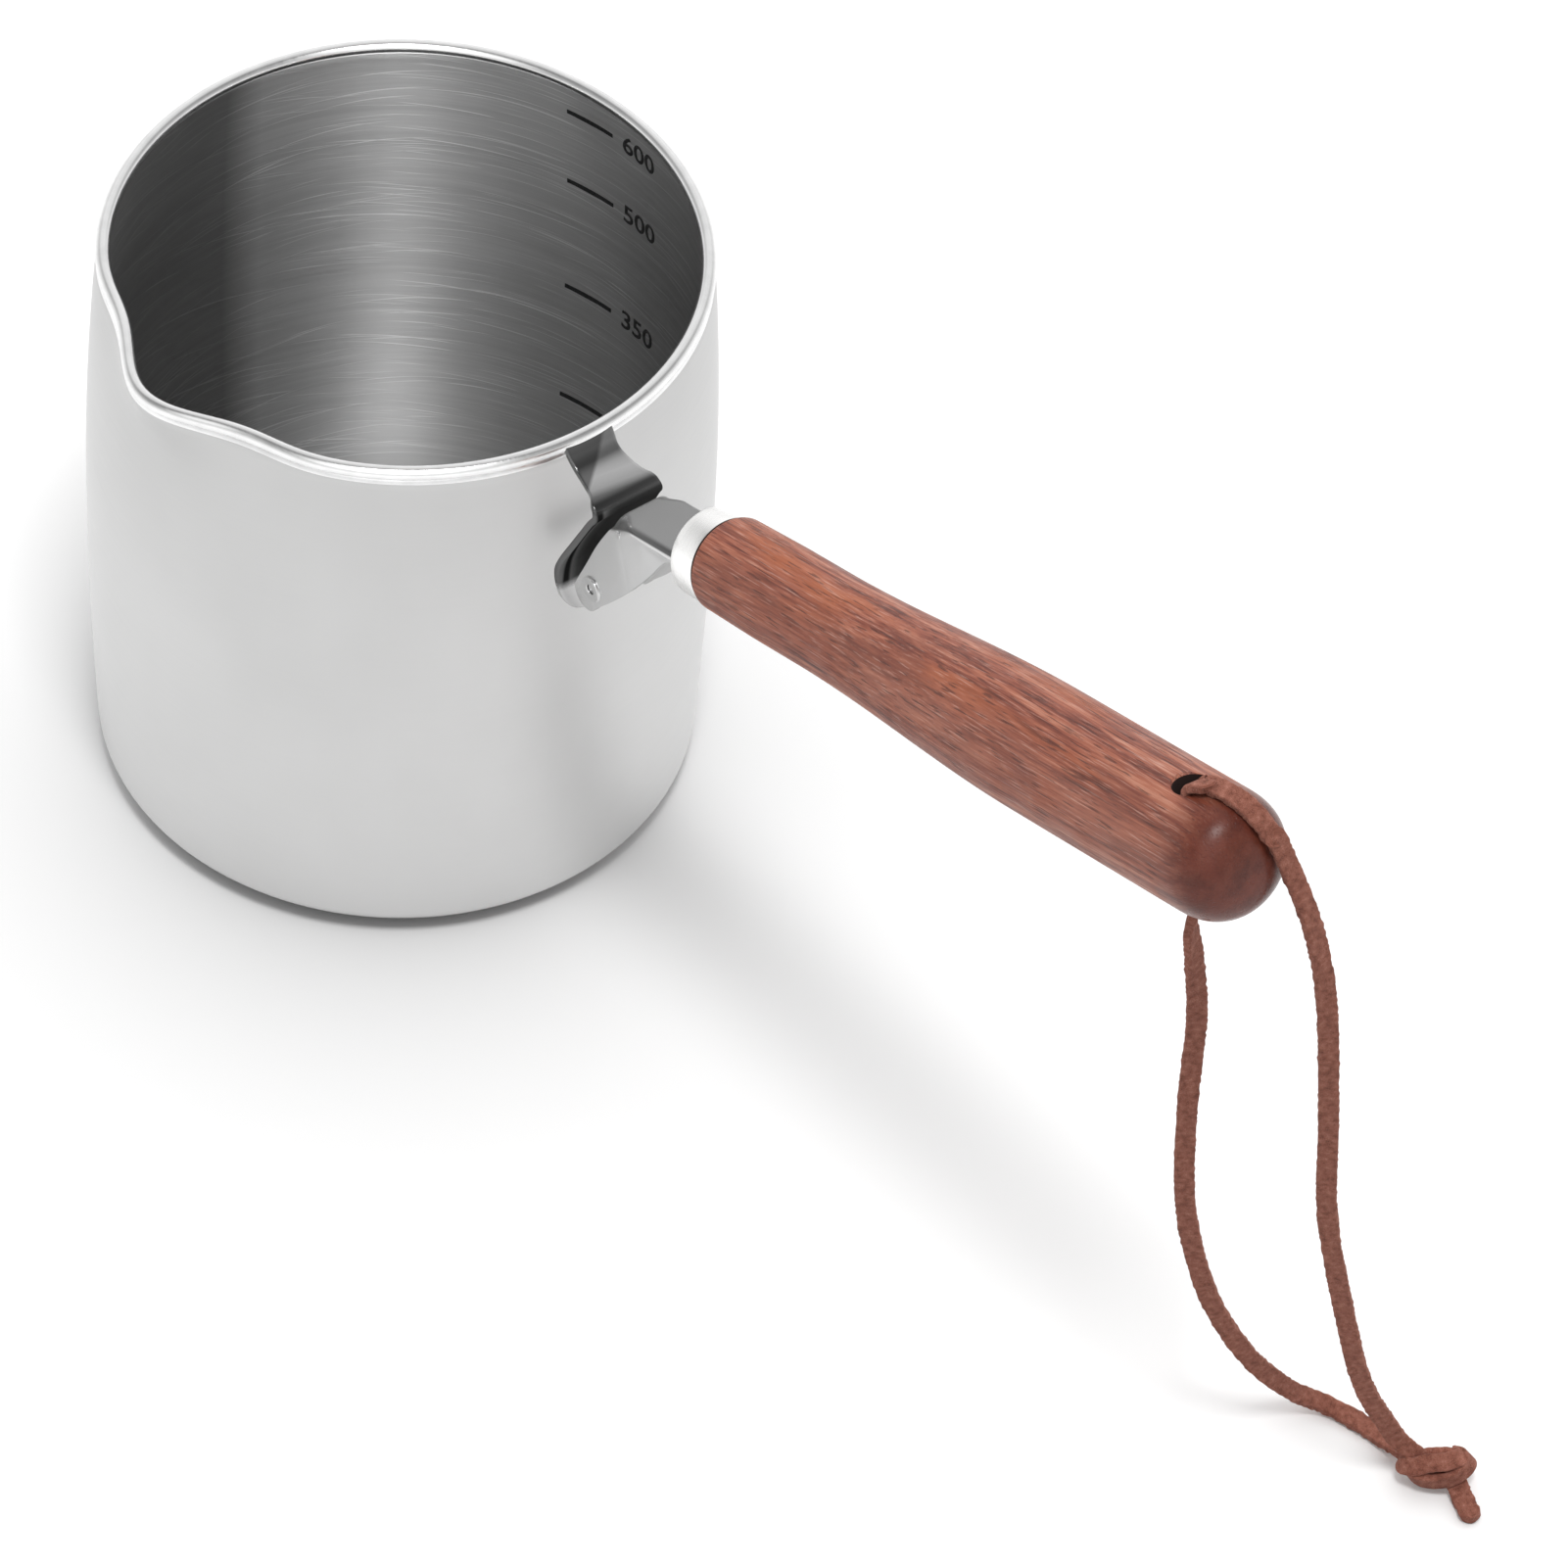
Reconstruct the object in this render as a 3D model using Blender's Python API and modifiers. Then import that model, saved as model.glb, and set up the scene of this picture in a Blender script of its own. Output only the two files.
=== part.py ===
"""Small steel coffee pot (cezve) with a folding handle: a deep-drawn pot with a pouring lip, a stamped
hinge bracket, a channel-shaped tang on a tubular rivet, and a turned wooden grip with a leather lace.

Metres. Z is up, the origin is the centre of the flat base, and the handle points along +X.
"""

from math import acos, atan2, cos, degrees, exp, hypot, pi, radians, sin

import bmesh
import bpy
from mathutils import Matrix, Vector

MM = 0.001
GAP = 0.3 * MM  # clearance left between neighbouring pieces

# Pot
POT_HEIGHT = 98.8 * MM
RIM_RADIUS = 45.0 * MM  # outside of the rolled rim
BEAD_RADIUS = 1.1 * MM  # section of the rolled rim
WALL = 0.9 * MM
BULGE_RADIUS = 46.7 * MM  # widest outside radius
BULGE_HEIGHT = 52.0 * MM
LOWER_DROP = 1.4 * MM  # how much narrower the wall is just above the bottom corner
UPPER_DROP = 2.0 * MM  # and just under the rim
CORNER_REACH = 10.5 * MM  # the bottom corner is a quarter ellipse
CORNER_RISE = 5.0 * MM
LIP_ANGLE = radians(-87)
LIP_REACH = 3.6 * MM  # how far the lip is pushed out at the rim
LIP_HALF_ANGLE = radians(11)
LIP_DEPTH = 9.0 * MM  # how quickly the lip fades down the wall
AROUND = 72  # divisions round the pot

# Handle line: the grip's axis starts at the front of the ferrule and rises by HANDLE_TILT
HANDLE_START = Vector((73.3, 0.0, 99.1)) * MM
HANDLE_TILT = radians(18.9)
RIVET = Vector((53.6, 0.0, 77.2)) * MM

# Bracket and tang, both 1 mm sheet
SHEET = 1.0 * MM
TANG_HALF_WIDTH = 5.2 * MM
TANG_FRONT = -17.5 * MM  # along the handle line, from its start
TANG_TOP = 1.2 * MM  # above the handle line
TANG_BEND = 1.6 * MM  # outside radius of the two bends along its top
TAIL_BOTTOM = -0.2 * MM
TANG_UNDERSIDE = ((-17.2, -11.3), (-13.6, -8.5), (-8.6, -4.4), (-3.8, -0.2))  # (along, above), in mm
TAIL_END = 2.3 * MM
END_PLATE_RADIUS = 4.6 * MM  # round plate on the tang's tail, inside the ferrule
LOBE_RADIUS = 3.6 * MM  # rounded ends of the tang's side plates
LOBE_SHIFT = 1.6 * MM  # how far the lobe's centre stands towards the pot from the rivet
BRACKET_HALF_WIDTH = 5.5 * MM  # at the stop bend
BRACKET_FOOT_HALF_WIDTH = 6.3 * MM  # where it meets the wall
LUG_OUTSIDE = TANG_HALF_WIDTH - SHEET - 0.4 * MM
LUG_RADIUS = 2.8 * MM

# Rivet and stop pin
RIVET_RADIUS = 1.5 * MM
RIVET_BORE = 0.9 * MM
RIVET_HEAD_RADIUS = 2.3 * MM
RIVET_HEAD = 0.5 * MM
STOP_PIN_RADIUS = 0.8 * MM
STOP_PIN_ALONG = -15.6 * MM
STOP_PIN_BELOW = -1.2 * MM

# Ferrule, grip and the stud that joins the grip to the tang
FERRULE_RADIUS = 6.8 * MM
FERRULE_WALL = 0.8 * MM
FERRULE_END = 5.3 * MM
GRIP_END = 122.7 * MM
GRIP_DOME = 8.6 * MM  # length of the rounded end
GRIP_NECK_RADIUS = 7.1 * MM
GRIP_WAIST_RADIUS = 7.3 * MM
GRIP_BELLY_RADIUS = 9.2 * MM
TENON_FRONT = 2.8 * MM
TENON_RADIUS = 5.6 * MM
STUD_RADIUS = 2.0 * MM
STUD_END = 38.0 * MM
BORE_RADIUS = 2.4 * MM
BORE_END = 40.0 * MM
INSERT_RADIUS = 3.2 * MM
INSERT_START = 9.0 * MM
INSERT_END = 22.0 * MM
LACE_HOLE = 111.2 * MM
LACE_HOLE_RADIUS = 2.6 * MM

# Leather lace
LACE_WIDTH = 2.8 * MM
LACE_THICK = 1.3 * MM
KNOT_CENTRE = Vector((205.4, 35.8, 3.4)) * MM
KNOT_SIZE = Vector((10.5, 7.2, 5.9)) * MM
TAIL_LENGTH = 7.0 * MM


def clear_scene():
    for obj in list(bpy.data.objects):
        bpy.data.objects.remove(obj, do_unlink=True)


def collection(name):
    made = bpy.data.collections.new(name)
    bpy.context.scene.collection.children.link(made)
    return made


def material(name, colour, metallic, roughness):
    made = bpy.data.materials.new(name)
    made.use_nodes = True
    shader = made.node_tree.nodes["Principled BSDF"]
    shader.inputs["Base Color"].default_value = (*colour, 1.0)
    shader.inputs["Metallic"].default_value = metallic
    shader.inputs["Roughness"].default_value = roughness
    made.diffuse_color = (*colour, 1.0)
    return made


def new_object(name, data, where, finish=None, parent=None):
    obj = bpy.data.objects.new(name, data)
    where.objects.link(obj)
    if finish:
        data.materials.append(finish)
    if parent:
        obj.parent = parent
    return obj


def empty(name, where, location, parent=None):
    obj = new_object(name, None, where, parent=parent)
    obj.empty_display_size = 0.02
    obj.location = location
    return obj


def as_cutter(obj):
    obj.hide_render = True
    obj.display_type = "WIRE"
    return obj


def smooth(obj, angle=40):
    obj.data.shade_smooth()
    obj.data.set_sharp_from_angle(angle=radians(angle))


def arc(centre, radius, start, end, steps):
    """Points from one angle to another, in degrees, round a centre given as a pair."""
    turns = [radians(start + (end - start) * i / steps) for i in range(steps + 1)]
    return [(centre[0] + radius * cos(t), centre[1] + radius * sin(t)) for t in turns]


def turned(name, profile, steps, where, finish=None, axis="Z", closed=False, parent=None):
    """A profile of (radius, height) pairs, spun round the axis by a Screw modifier."""
    mesh = bpy.data.meshes.new(name)
    if axis == "Z":
        points = [(r, 0.0, h) for r, h in profile]
    else:
        points = [(h, 0.0, r) for r, h in profile]
    edges = [(i, i + 1) for i in range(len(points) - 1)]
    if closed:
        edges.append((len(points) - 1, 0))
    mesh.from_pydata(points, edges, [])
    obj = new_object(name, mesh, where, finish, parent)
    screw = obj.modifiers.new("spin", "SCREW")
    screw.axis = axis
    screw.steps = steps
    screw.render_steps = steps
    screw.use_merge_vertices = True
    screw.merge_threshold = 0.00001
    screw.use_normal_calculate = True
    return obj


def freeze(obj):
    """Replaces an object's mesh with the one its modifiers make."""
    bpy.context.view_layer.update()
    graph = bpy.context.evaluated_depsgraph_get()
    mesh = bpy.data.meshes.new_from_object(obj.evaluated_get(graph))
    old = obj.data
    obj.modifiers.clear()
    obj.data = mesh
    bpy.data.meshes.remove(old)
    mesh.name = obj.name
    return obj


def recalculate(obj):
    """Turns every face of a closed mesh outwards."""
    cage = bmesh.new()
    cage.from_mesh(obj.data)
    bmesh.ops.recalc_face_normals(cage, faces=cage.faces)
    cage.to_mesh(obj.data)
    cage.free()


def prism(name, outline, low, high, where, finish=None, parent=None):
    """An outline of (x, z) pairs, extruded along Y from low to high."""
    cage = bmesh.new()
    face = cage.faces.new([cage.verts.new((x, low, z)) for x, z in outline])
    grown = bmesh.ops.extrude_face_region(cage, geom=[face])
    moved = [v for v in grown["geom"] if isinstance(v, bmesh.types.BMVert)]
    bmesh.ops.translate(cage, verts=moved, vec=(0.0, high - low, 0.0))
    bmesh.ops.recalc_face_normals(cage, faces=cage.faces)
    mesh = bpy.data.meshes.new(name)
    cage.to_mesh(mesh)
    cage.free()
    return new_object(name, mesh, where, finish, parent)


def rod(name, radius, start, end, where, finish=None, parent=None, sides=24):
    """A cylinder between two points of its parent's frame."""
    cage = bmesh.new()
    length = (end - start).length
    bmesh.ops.create_cone(
        cage, cap_ends=True, segments=sides, radius1=radius, radius2=radius, depth=length
    )
    turn = (end - start).to_track_quat("Z", "Y").to_matrix().to_4x4()
    bmesh.ops.transform(cage, matrix=Matrix.Translation((start + end) / 2) @ turn, verts=cage.verts)
    mesh = bpy.data.meshes.new(name)
    cage.to_mesh(mesh)
    cage.free()
    return new_object(name, mesh, where, finish, parent)


def boolean(obj, other, operation):
    cut = obj.modifiers.new(operation.lower(), "BOOLEAN")
    cut.operation = operation
    cut.solver = "EXACT"
    cut.object = other


def wall_radius(height):
    """Outside radius of the barrel-shaped wall."""
    if height < BULGE_HEIGHT:
        return BULGE_RADIUS - LOWER_DROP * ((BULGE_HEIGHT - height) / BULGE_HEIGHT) ** 2
    return BULGE_RADIUS - UPPER_DROP * ((height - BULGE_HEIGHT) / (POT_HEIGHT - BULGE_HEIGHT)) ** 2


def pot_profile():
    """From the centre of the floor, up the inside, over the rolled rim and down the outside."""
    corner_top = wall_radius(CORNER_RISE)
    turns = [i / 5 * pi / 2 for i in range(6)]

    def corner(inset):
        return [
            (
                corner_top - CORNER_REACH + (CORNER_REACH - inset) * sin(t),
                CORNER_RISE - (CORNER_RISE - inset) * cos(t),
            )
            for t in turns
        ]

    bead_height = POT_HEIGHT - BEAD_RADIUS
    heights = [CORNER_RISE + (bead_height - CORNER_RISE) * i / 9 for i in range(1, 9)]
    inside = [(wall_radius(h) - WALL, h) for h in heights]
    outside = [(wall_radius(h), h) for h in reversed(heights)]
    bead = arc((RIM_RADIUS - BEAD_RADIUS, bead_height), BEAD_RADIUS, 215, -55, 8)
    inner_floor = [(0.0, WALL), (18 * MM, WALL)]
    outer_floor = [(18 * MM, 0.0), (0.0, 0.0)]
    return inner_floor + corner(WALL) + inside + bead + outside + corner(0.0)[::-1] + outer_floor


def lip_push(angle, height):
    """How far the pouring lip moves the wall outwards at an angle and height."""
    away = (angle - LIP_ANGLE + pi) % (2 * pi) - pi
    beside = (abs(away) - 1.9 * LIP_HALF_ANGLE) / (0.9 * LIP_HALF_ANGLE)
    pinch = exp(-((away / LIP_HALF_ANGLE) ** 2)) - 0.28 * exp(-(beside**2))
    fade = exp(-(((POT_HEIGHT - height) / LIP_DEPTH) ** 2))
    return LIP_REACH * pinch * fade


def make_pot(where, steel):
    pot = freeze(turned("pot_body", pot_profile(), AROUND, where, steel))
    for vertex in pot.data.vertices:
        x, y, z = vertex.co
        radius = hypot(x, y)
        if radius > RIM_RADIUS * 0.8:
            push = lip_push(atan2(y, x), z)
            vertex.co.x += push * x / radius
            vertex.co.y += push * y / radius
    recalculate(pot)
    smooth(pot)
    return pot


def bracket_rows():
    """Centre line of the strip as (x, z, half width, how far its edges turn forward), in mm."""
    wide = BRACKET_HALF_WIDTH / MM
    foot = BRACKET_FOOT_HALF_WIDTH / MM
    hug = (wall_radius(74 * MM) + GAP + SHEET / 2) / MM
    rim = (RIM_RADIUS + GAP + SHEET / 2) / MM
    rows = [
        (rim, 97.6, 4.1, 0.0),
        (rim + 0.1, 96.6, 4.1, 0.0),
        (rim + 0.8, 95.4, 4.0, 0.0),
        (rim + 2.1, 94.6, 4.0, 0.0),
        (rim + 4.0, 94.2, 4.2, 0.0),
        (51.4, 94.2, 4.7, 0.0),
        (53.0, 94.0, 5.2, 0.0),
        (54.0, 93.4, wide, 0.0),
        (54.2, 92.4, wide, 0.1),
        (52.8, 90.4, wide, 0.4),
        (49.8, 84.8, (wide + foot) / 2, 0.7),
        (47.6, 79.6, foot, 0.3),
        (hug, 77.0, foot, 0.0),
        (hug, 73.0, 6.0, -0.15),
        (hug, 69.6, 5.4, -0.15),
        (hug, 66.6, 3.8, -0.1),
    ]
    return [tuple(value * MM for value in row) for row in rows]


def make_bracket(where, steel, cutters):
    """Stamped strip from the rim out to the stop bend and back down to the wall, with two hinge lugs."""
    across = (-1.0, -0.82, -0.4, 0.0, 0.4, 0.82, 1.0)
    cage = bmesh.new()
    grid = []
    for x, z, half, turn in bracket_rows():
        row = [
            cage.verts.new((x + turn * max(0.0, abs(a) - 0.6) / 0.4, a * half, z))
            for a in across
        ]
        grid.append(row)
    for upper, lower in zip(grid, grid[1:]):
        for a in range(len(across) - 1):
            cage.faces.new((upper[a], lower[a], lower[a + 1], upper[a + 1]))
    mesh = bpy.data.meshes.new("hinge_bracket")
    cage.to_mesh(mesh)
    cage.free()
    strip = new_object("hinge_bracket", mesh, where, steel)
    thick = strip.modifiers.new("sheet", "SOLIDIFY")
    thick.thickness = SHEET
    thick.offset = 0.0
    thick.use_even_offset = True
    freeze(strip)
    recalculate(strip)

    rivet = (RIVET.x, RIVET.z)
    lug = [(48.0 * MM, 79.2 * MM), (47.1 * MM, 74.4 * MM)]
    lug += arc(rivet, LUG_RADIUS, 230, 380, 10)
    lug += [(55.2 * MM, 85.0 * MM), (53.4 * MM, 88.4 * MM), (51.8 * MM, 86.2 * MM)]
    for side in (-1, 1):
        inner = side * (LUG_OUTSIDE - SHEET)
        outer = side * LUG_OUTSIDE
        plate = prism("bracket_lug", lug, min(inner, outer), max(inner, outer), cutters)
        boolean(strip, as_cutter(plate), "UNION")
    hole = rod(
        "bracket_hole",
        RIVET_RADIUS + GAP,
        RIVET + Vector((0, -8 * MM, 0)),
        RIVET + Vector((0, 8 * MM, 0)),
        cutters,
    )
    boolean(strip, as_cutter(hole), "DIFFERENCE")
    smooth(strip)
    return strip


def rivet_in_handle():
    offset = RIVET - HANDLE_START
    return (
        offset.x * cos(HANDLE_TILT) + offset.z * sin(HANDLE_TILT),
        -offset.x * sin(HANDLE_TILT) + offset.z * cos(HANDLE_TILT),
    )


def tangent(point, centre, radius, side):
    """Angle in degrees, round the centre, of where a line from the point touches the circle."""
    dx = point[0] - centre[0]
    dz = point[1] - centre[1]
    return degrees(atan2(dz, dx) + side * acos(radius / hypot(dx, dz)))


def tang_outline():
    """Side plate: top edge, relieved front corner, front edge, lobe at the rivet, underside, tail."""
    rivet = rivet_in_handle()
    lobe_centre = (
        rivet[0] - LOBE_SHIFT * cos(HANDLE_TILT),
        rivet[1] + LOBE_SHIFT * sin(HANDLE_TILT),
    )
    relief = (TANG_FRONT + 1.5 * MM, TANG_TOP - 2.0 * MM)
    under = [(s * MM, h * MM) for s, h in TANG_UNDERSIDE]
    front_touch = tangent(relief, lobe_centre, LOBE_RADIUS, 1)
    under_touch = tangent(under[0], lobe_centre, LOBE_RADIUS, -1)
    lobe = arc(lobe_centre, LOBE_RADIUS, front_touch, under_touch + 360, 14)
    return [
        (TAIL_END, TANG_TOP),
        (TANG_FRONT, TANG_TOP),
        (TANG_FRONT, TANG_TOP - SHEET),
        relief,
        *lobe,
        *under,
        (TAIL_END, TAIL_BOTTOM),
    ]


def make_tang(where, steel, frame, cutters):
    """Channel bent from sheet: a flat top, two side plates, and a round end plate inside the ferrule."""
    tang = prism("tang_channel", tang_outline(), -TANG_HALF_WIDTH, TANG_HALF_WIDTH, where, steel, frame)
    top_edges = [
        e
        for e in tang.data.edges
        if all(abs(tang.data.vertices[v].co.z - TANG_TOP) < 1e-6 for v in e.vertices)
        and abs(tang.data.vertices[e.vertices[0]].co.y - tang.data.vertices[e.vertices[1]].co.y) < 1e-6
    ]
    weights = tang.data.attributes.new("bevel_weight_edge", "FLOAT", "EDGE")
    for edge in top_edges:
        weights.data[edge.index].value = 1.0
    bend = tang.modifiers.new("bends", "BEVEL")
    bend.limit_method = "WEIGHT"
    bend.width = TANG_BEND
    bend.segments = 4

    low = rivet_in_handle()[1] - 10 * MM
    inside = TANG_HALF_WIDTH - SHEET
    hollow = [
        (TANG_FRONT - 20 * MM, TANG_TOP - SHEET),
        (TANG_FRONT - 20 * MM, low),
        (TAIL_END + SHEET, low),
        (TAIL_END + SHEET, TANG_TOP - SHEET),
    ]
    channel = prism("tang_hollow", hollow, -inside, inside, cutters, parent=frame)
    boolean(tang, as_cutter(channel), "DIFFERENCE")
    along, above = rivet_in_handle()
    plate = rod(
        "tang_end_plate",
        END_PLATE_RADIUS,
        Vector((TAIL_END - SHEET, 0, 0)),
        Vector((TAIL_END, 0, 0)),
        cutters,
        parent=frame,
        sides=32,
    )
    boolean(tang, as_cutter(plate), "UNION")
    for name, radius, x, z in (
        ("tang_rivet_hole", RIVET_RADIUS + GAP, along, above),
        ("tang_pin_hole", STOP_PIN_RADIUS + GAP, STOP_PIN_ALONG, STOP_PIN_BELOW),
    ):
        hole = rod(
            name,
            radius,
            Vector((x, -9 * MM, z)),
            Vector((x, 9 * MM, z)),
            cutters,
            parent=frame,
        )
        boolean(tang, as_cutter(hole), "DIFFERENCE")
    smooth(tang, 30)
    return tang


def make_rivet(where, steel):
    """Tubular rivet: a hollow shank with a rolled head outside each side plate."""
    plate = TANG_HALF_WIDTH + GAP
    end = plate + RIVET_HEAD
    edge = 0.2 * MM
    profile = [
        (RIVET_BORE, -end),
        (RIVET_BORE, end),
        (RIVET_HEAD_RADIUS - edge, end),
        (RIVET_HEAD_RADIUS, end - edge),
        (RIVET_HEAD_RADIUS, plate),
        (RIVET_RADIUS, plate),
        (RIVET_RADIUS, -plate),
        (RIVET_HEAD_RADIUS, -plate),
        (RIVET_HEAD_RADIUS, -end + edge),
        (RIVET_HEAD_RADIUS - edge, -end),
    ]
    rivet = freeze(turned("hinge_rivet", profile, 24, where, steel, closed=True))
    rivet.data.transform(Matrix.Rotation(pi / 2, 4, "X"))
    rivet.location = RIVET
    recalculate(rivet)
    smooth(rivet)
    return rivet


def make_stop_pin(where, steel, frame):
    half = TANG_HALF_WIDTH + 0.15 * MM
    pin = rod(
        "stop_pin",
        STOP_PIN_RADIUS,
        Vector((STOP_PIN_ALONG, -half, STOP_PIN_BELOW)),
        Vector((STOP_PIN_ALONG, half, STOP_PIN_BELOW)),
        where,
        steel,
        frame,
        sides=16,
    )
    smooth(pin)
    return pin


def make_ferrule(where, steel, frame):
    inner = FERRULE_RADIUS - FERRULE_WALL
    edge = 0.3 * MM
    profile = [
        (inner, 0.0),
        (FERRULE_RADIUS - edge, 0.0),
        (FERRULE_RADIUS, edge),
        (FERRULE_RADIUS, FERRULE_END - edge),
        (FERRULE_RADIUS - edge, FERRULE_END),
        (inner, FERRULE_END),
    ]
    ferrule = freeze(turned("ferrule", profile, 36, where, steel, axis="X", closed=True, parent=frame))
    recalculate(ferrule)
    smooth(ferrule)
    return ferrule


def grip_radius(along):
    """Outside radius of the grip before its rounded end: a slim neck that swells into a belly."""
    start = min(1.0, (along - FERRULE_END) / (12 * MM))
    neck = GRIP_NECK_RADIUS + (GRIP_WAIST_RADIUS - GRIP_NECK_RADIUS) * start
    swell = min(1.0, max(0.0, (along - 28 * MM) / (50 * MM)))
    return neck + (GRIP_BELLY_RADIUS - GRIP_WAIST_RADIUS) * swell * swell * (3 - 2 * swell)


def grip_end(turn, lift=0.0):
    """A (radius, distance along) point of the grip's rounded end, squarer than a ball."""
    power = 2.6
    body_end = GRIP_END - GRIP_DOME
    out = cos(turn) ** (2 / power)
    on = sin(turn) ** (2 / power)
    return (
        GRIP_BELLY_RADIUS * out + lift * cos(turn),
        body_end + GRIP_DOME * on + lift * sin(turn),
    )


def grip_profile():
    start = FERRULE_END + GAP
    body_end = GRIP_END - GRIP_DOME
    stations = [start + 0.5 * MM + (body_end - start) * i / 12 for i in range(13)]
    outside = [(grip_radius(start) - 0.5 * MM, start)]
    outside += [(grip_radius(s), s) for s in stations if s < body_end]
    cap = [grip_end(pi / 2 * i / 7) for i in range(7)]
    tenon = [(BORE_RADIUS, TENON_FRONT), (TENON_RADIUS, TENON_FRONT), (TENON_RADIUS, start)]
    sleeve = INSERT_RADIUS + GAP
    bore = [(0.0, BORE_END), (BORE_RADIUS, BORE_END), (BORE_RADIUS, INSERT_END + GAP)]
    bore += [(sleeve, INSERT_END + GAP), (sleeve, INSERT_START - GAP), (BORE_RADIUS, INSERT_START - GAP)]
    return bore + tenon + outside + cap + [(0.0, GRIP_END)]


def make_grip(where, wood, frame, cutters):
    grip = freeze(turned("handle_grip", grip_profile(), 32, where, wood, axis="X", parent=frame))
    recalculate(grip)
    hole = rod(
        "lace_hole",
        LACE_HOLE_RADIUS,
        Vector((LACE_HOLE, 0, -14 * MM)),
        Vector((LACE_HOLE, 0, 14 * MM)),
        cutters,
        parent=frame,
        sides=20,
    )
    boolean(grip, as_cutter(hole), "DIFFERENCE")
    smooth(grip)
    return grip


def make_stud(where, steel, frame):
    stud = rod(
        "tang_stud",
        STUD_RADIUS,
        Vector((TAIL_END + GAP, 0, 0)),
        Vector((STUD_END, 0, 0)),
        where,
        steel,
        frame,
        sides=20,
    )
    smooth(stud)
    return stud


def make_insert(where, brass, frame):
    profile = [
        (STUD_RADIUS + GAP, INSERT_START),
        (INSERT_RADIUS, INSERT_START),
        (INSERT_RADIUS, INSERT_END),
        (STUD_RADIUS + GAP, INSERT_END),
    ]
    insert = freeze(
        turned("threaded_insert", profile, 20, where, brass, axis="X", closed=True, parent=frame)
    )
    recalculate(insert)
    smooth(insert)
    return insert


def lace_section(cutters):
    """Rounded rectangle that the lace's curves are swept with."""
    data = bpy.data.curves.new("lace_section", "CURVE")
    data.dimensions = "2D"
    spline = data.splines.new("POLY")
    half_w = LACE_WIDTH / 2
    half_t = LACE_THICK / 2
    cut = 0.35 * MM
    outline = [
        (half_w, half_t - cut),
        (half_w - cut, half_t),
        (-half_w + cut, half_t),
        (-half_w, half_t - cut),
        (-half_w, -half_t + cut),
        (-half_w + cut, -half_t),
        (half_w - cut, -half_t),
        (half_w, -half_t + cut),
    ]
    spline.points.add(len(outline) - 1)
    for point, (x, y) in zip(spline.points, outline):
        point.co = (x, y, 0.0, 1.0)
    spline.use_cyclic_u = True
    return as_cutter(new_object("lace_section", data, cutters))


def through(points, steps):
    """A smooth run of points through the given ones (Catmull-Rom)."""
    ends = [2 * points[0] - points[1], *points, 2 * points[-1] - points[-2]]
    run = []
    for i in range(1, len(ends) - 2):
        p0, p1, p2, p3 = ends[i - 1 : i + 3]
        for k in range(steps):
            t = k / steps
            run.append(
                0.5
                * (
                    2 * p1
                    + (p2 - p0) * t
                    + (2 * p0 - 5 * p1 + 4 * p2 - p3) * t * t
                    + (3 * p1 - p0 - 3 * p2 + p3) * t * t * t
                )
            )
    return [*run, points[-1]]


def make_lace(name, points, section, where, leather, parent, turn=0.0, steps=5):
    """A flat strap swept along a run of world points."""
    data = bpy.data.curves.new(name, "CURVE")
    data.dimensions = "3D"
    data.twist_mode = "MINIMUM"
    data.bevel_mode = "OBJECT"
    data.bevel_object = section
    data.use_fill_caps = True
    spline = data.splines.new("POLY")
    run = through(points, steps)
    spline.points.add(len(run) - 1)
    for point, place in zip(spline.points, run):
        point.co = (*place, 1.0)
        point.tilt = turn
    curve = new_object(name + "_curve", data, where)
    bpy.context.view_layer.update()
    graph = bpy.context.evaluated_depsgraph_get()
    mesh = bpy.data.meshes.new_from_object(curve.evaluated_get(graph))
    bpy.data.objects.remove(curve, do_unlink=True)
    cage = bmesh.new()
    cage.from_mesh(mesh)
    bmesh.ops.remove_doubles(cage, verts=cage.verts, dist=0.00001)
    bmesh.ops.recalc_face_normals(cage, faces=cage.faces)
    cage.to_mesh(mesh)
    cage.free()
    mesh.materials.clear()
    lace = new_object(name, mesh, where, leather)
    lace.parent = parent
    lace.matrix_parent_inverse = parent.matrix_world.inverted()
    smooth(lace)
    return lace


def from_handle(along, above, side=0.0):
    """A world point from the handle line's coordinates."""
    return HANDLE_START + Vector(
        (
            along * cos(HANDLE_TILT) - above * sin(HANDLE_TILT),
            side,
            along * sin(HANDLE_TILT) + above * cos(HANDLE_TILT),
        )
    )


def saddle_points():
    """Up through the cross hole, along the top of the grip and over its rounded end."""
    lift = 3.5 * GAP + LACE_THICK / 2
    top = GRIP_BELLY_RADIUS + lift
    path = [
        from_handle(LACE_HOLE, -GRIP_BELLY_RADIUS - 1.0 * MM),
        from_handle(LACE_HOLE, -3 * MM),
        from_handle(LACE_HOLE, 5 * MM),
        from_handle(LACE_HOLE + 0.4 * MM, top - 1.2 * MM),
        from_handle(LACE_HOLE + 2.4 * MM, top + 0.5 * MM, 0.2 * MM),
        from_handle(LACE_HOLE + 6.0 * MM, top + 0.1 * MM, 0.6 * MM),
    ]
    for step, turn in enumerate((15, 36, 55, 70)):
        above, along = grip_end(radians(turn), lift)
        path.append(from_handle(along, above, (1.2 + 0.7 * step) * MM))
    return path


def front_points():
    """From the end of the grip down to the knot, in world mm."""
    above, along = grip_end(radians(76), 3.5 * GAP + LACE_THICK / 2)
    start = from_handle(along, above - 0.6 * MM, 4.0 * MM)
    hanging = [
        (194.8, 6.8, 128.0),
        (196.1, 9.8, 112.0),
        (196.9, 12.7, 88.0),
        (197.2, 14.7, 66.0),
        (198.2, 19.8, 42.1),
        (199.6, 25.2, 24.0),
        (201.2, 31.0, 10.6),
    ]
    return [start, *(Vector(place) * MM for place in hanging)]


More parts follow.
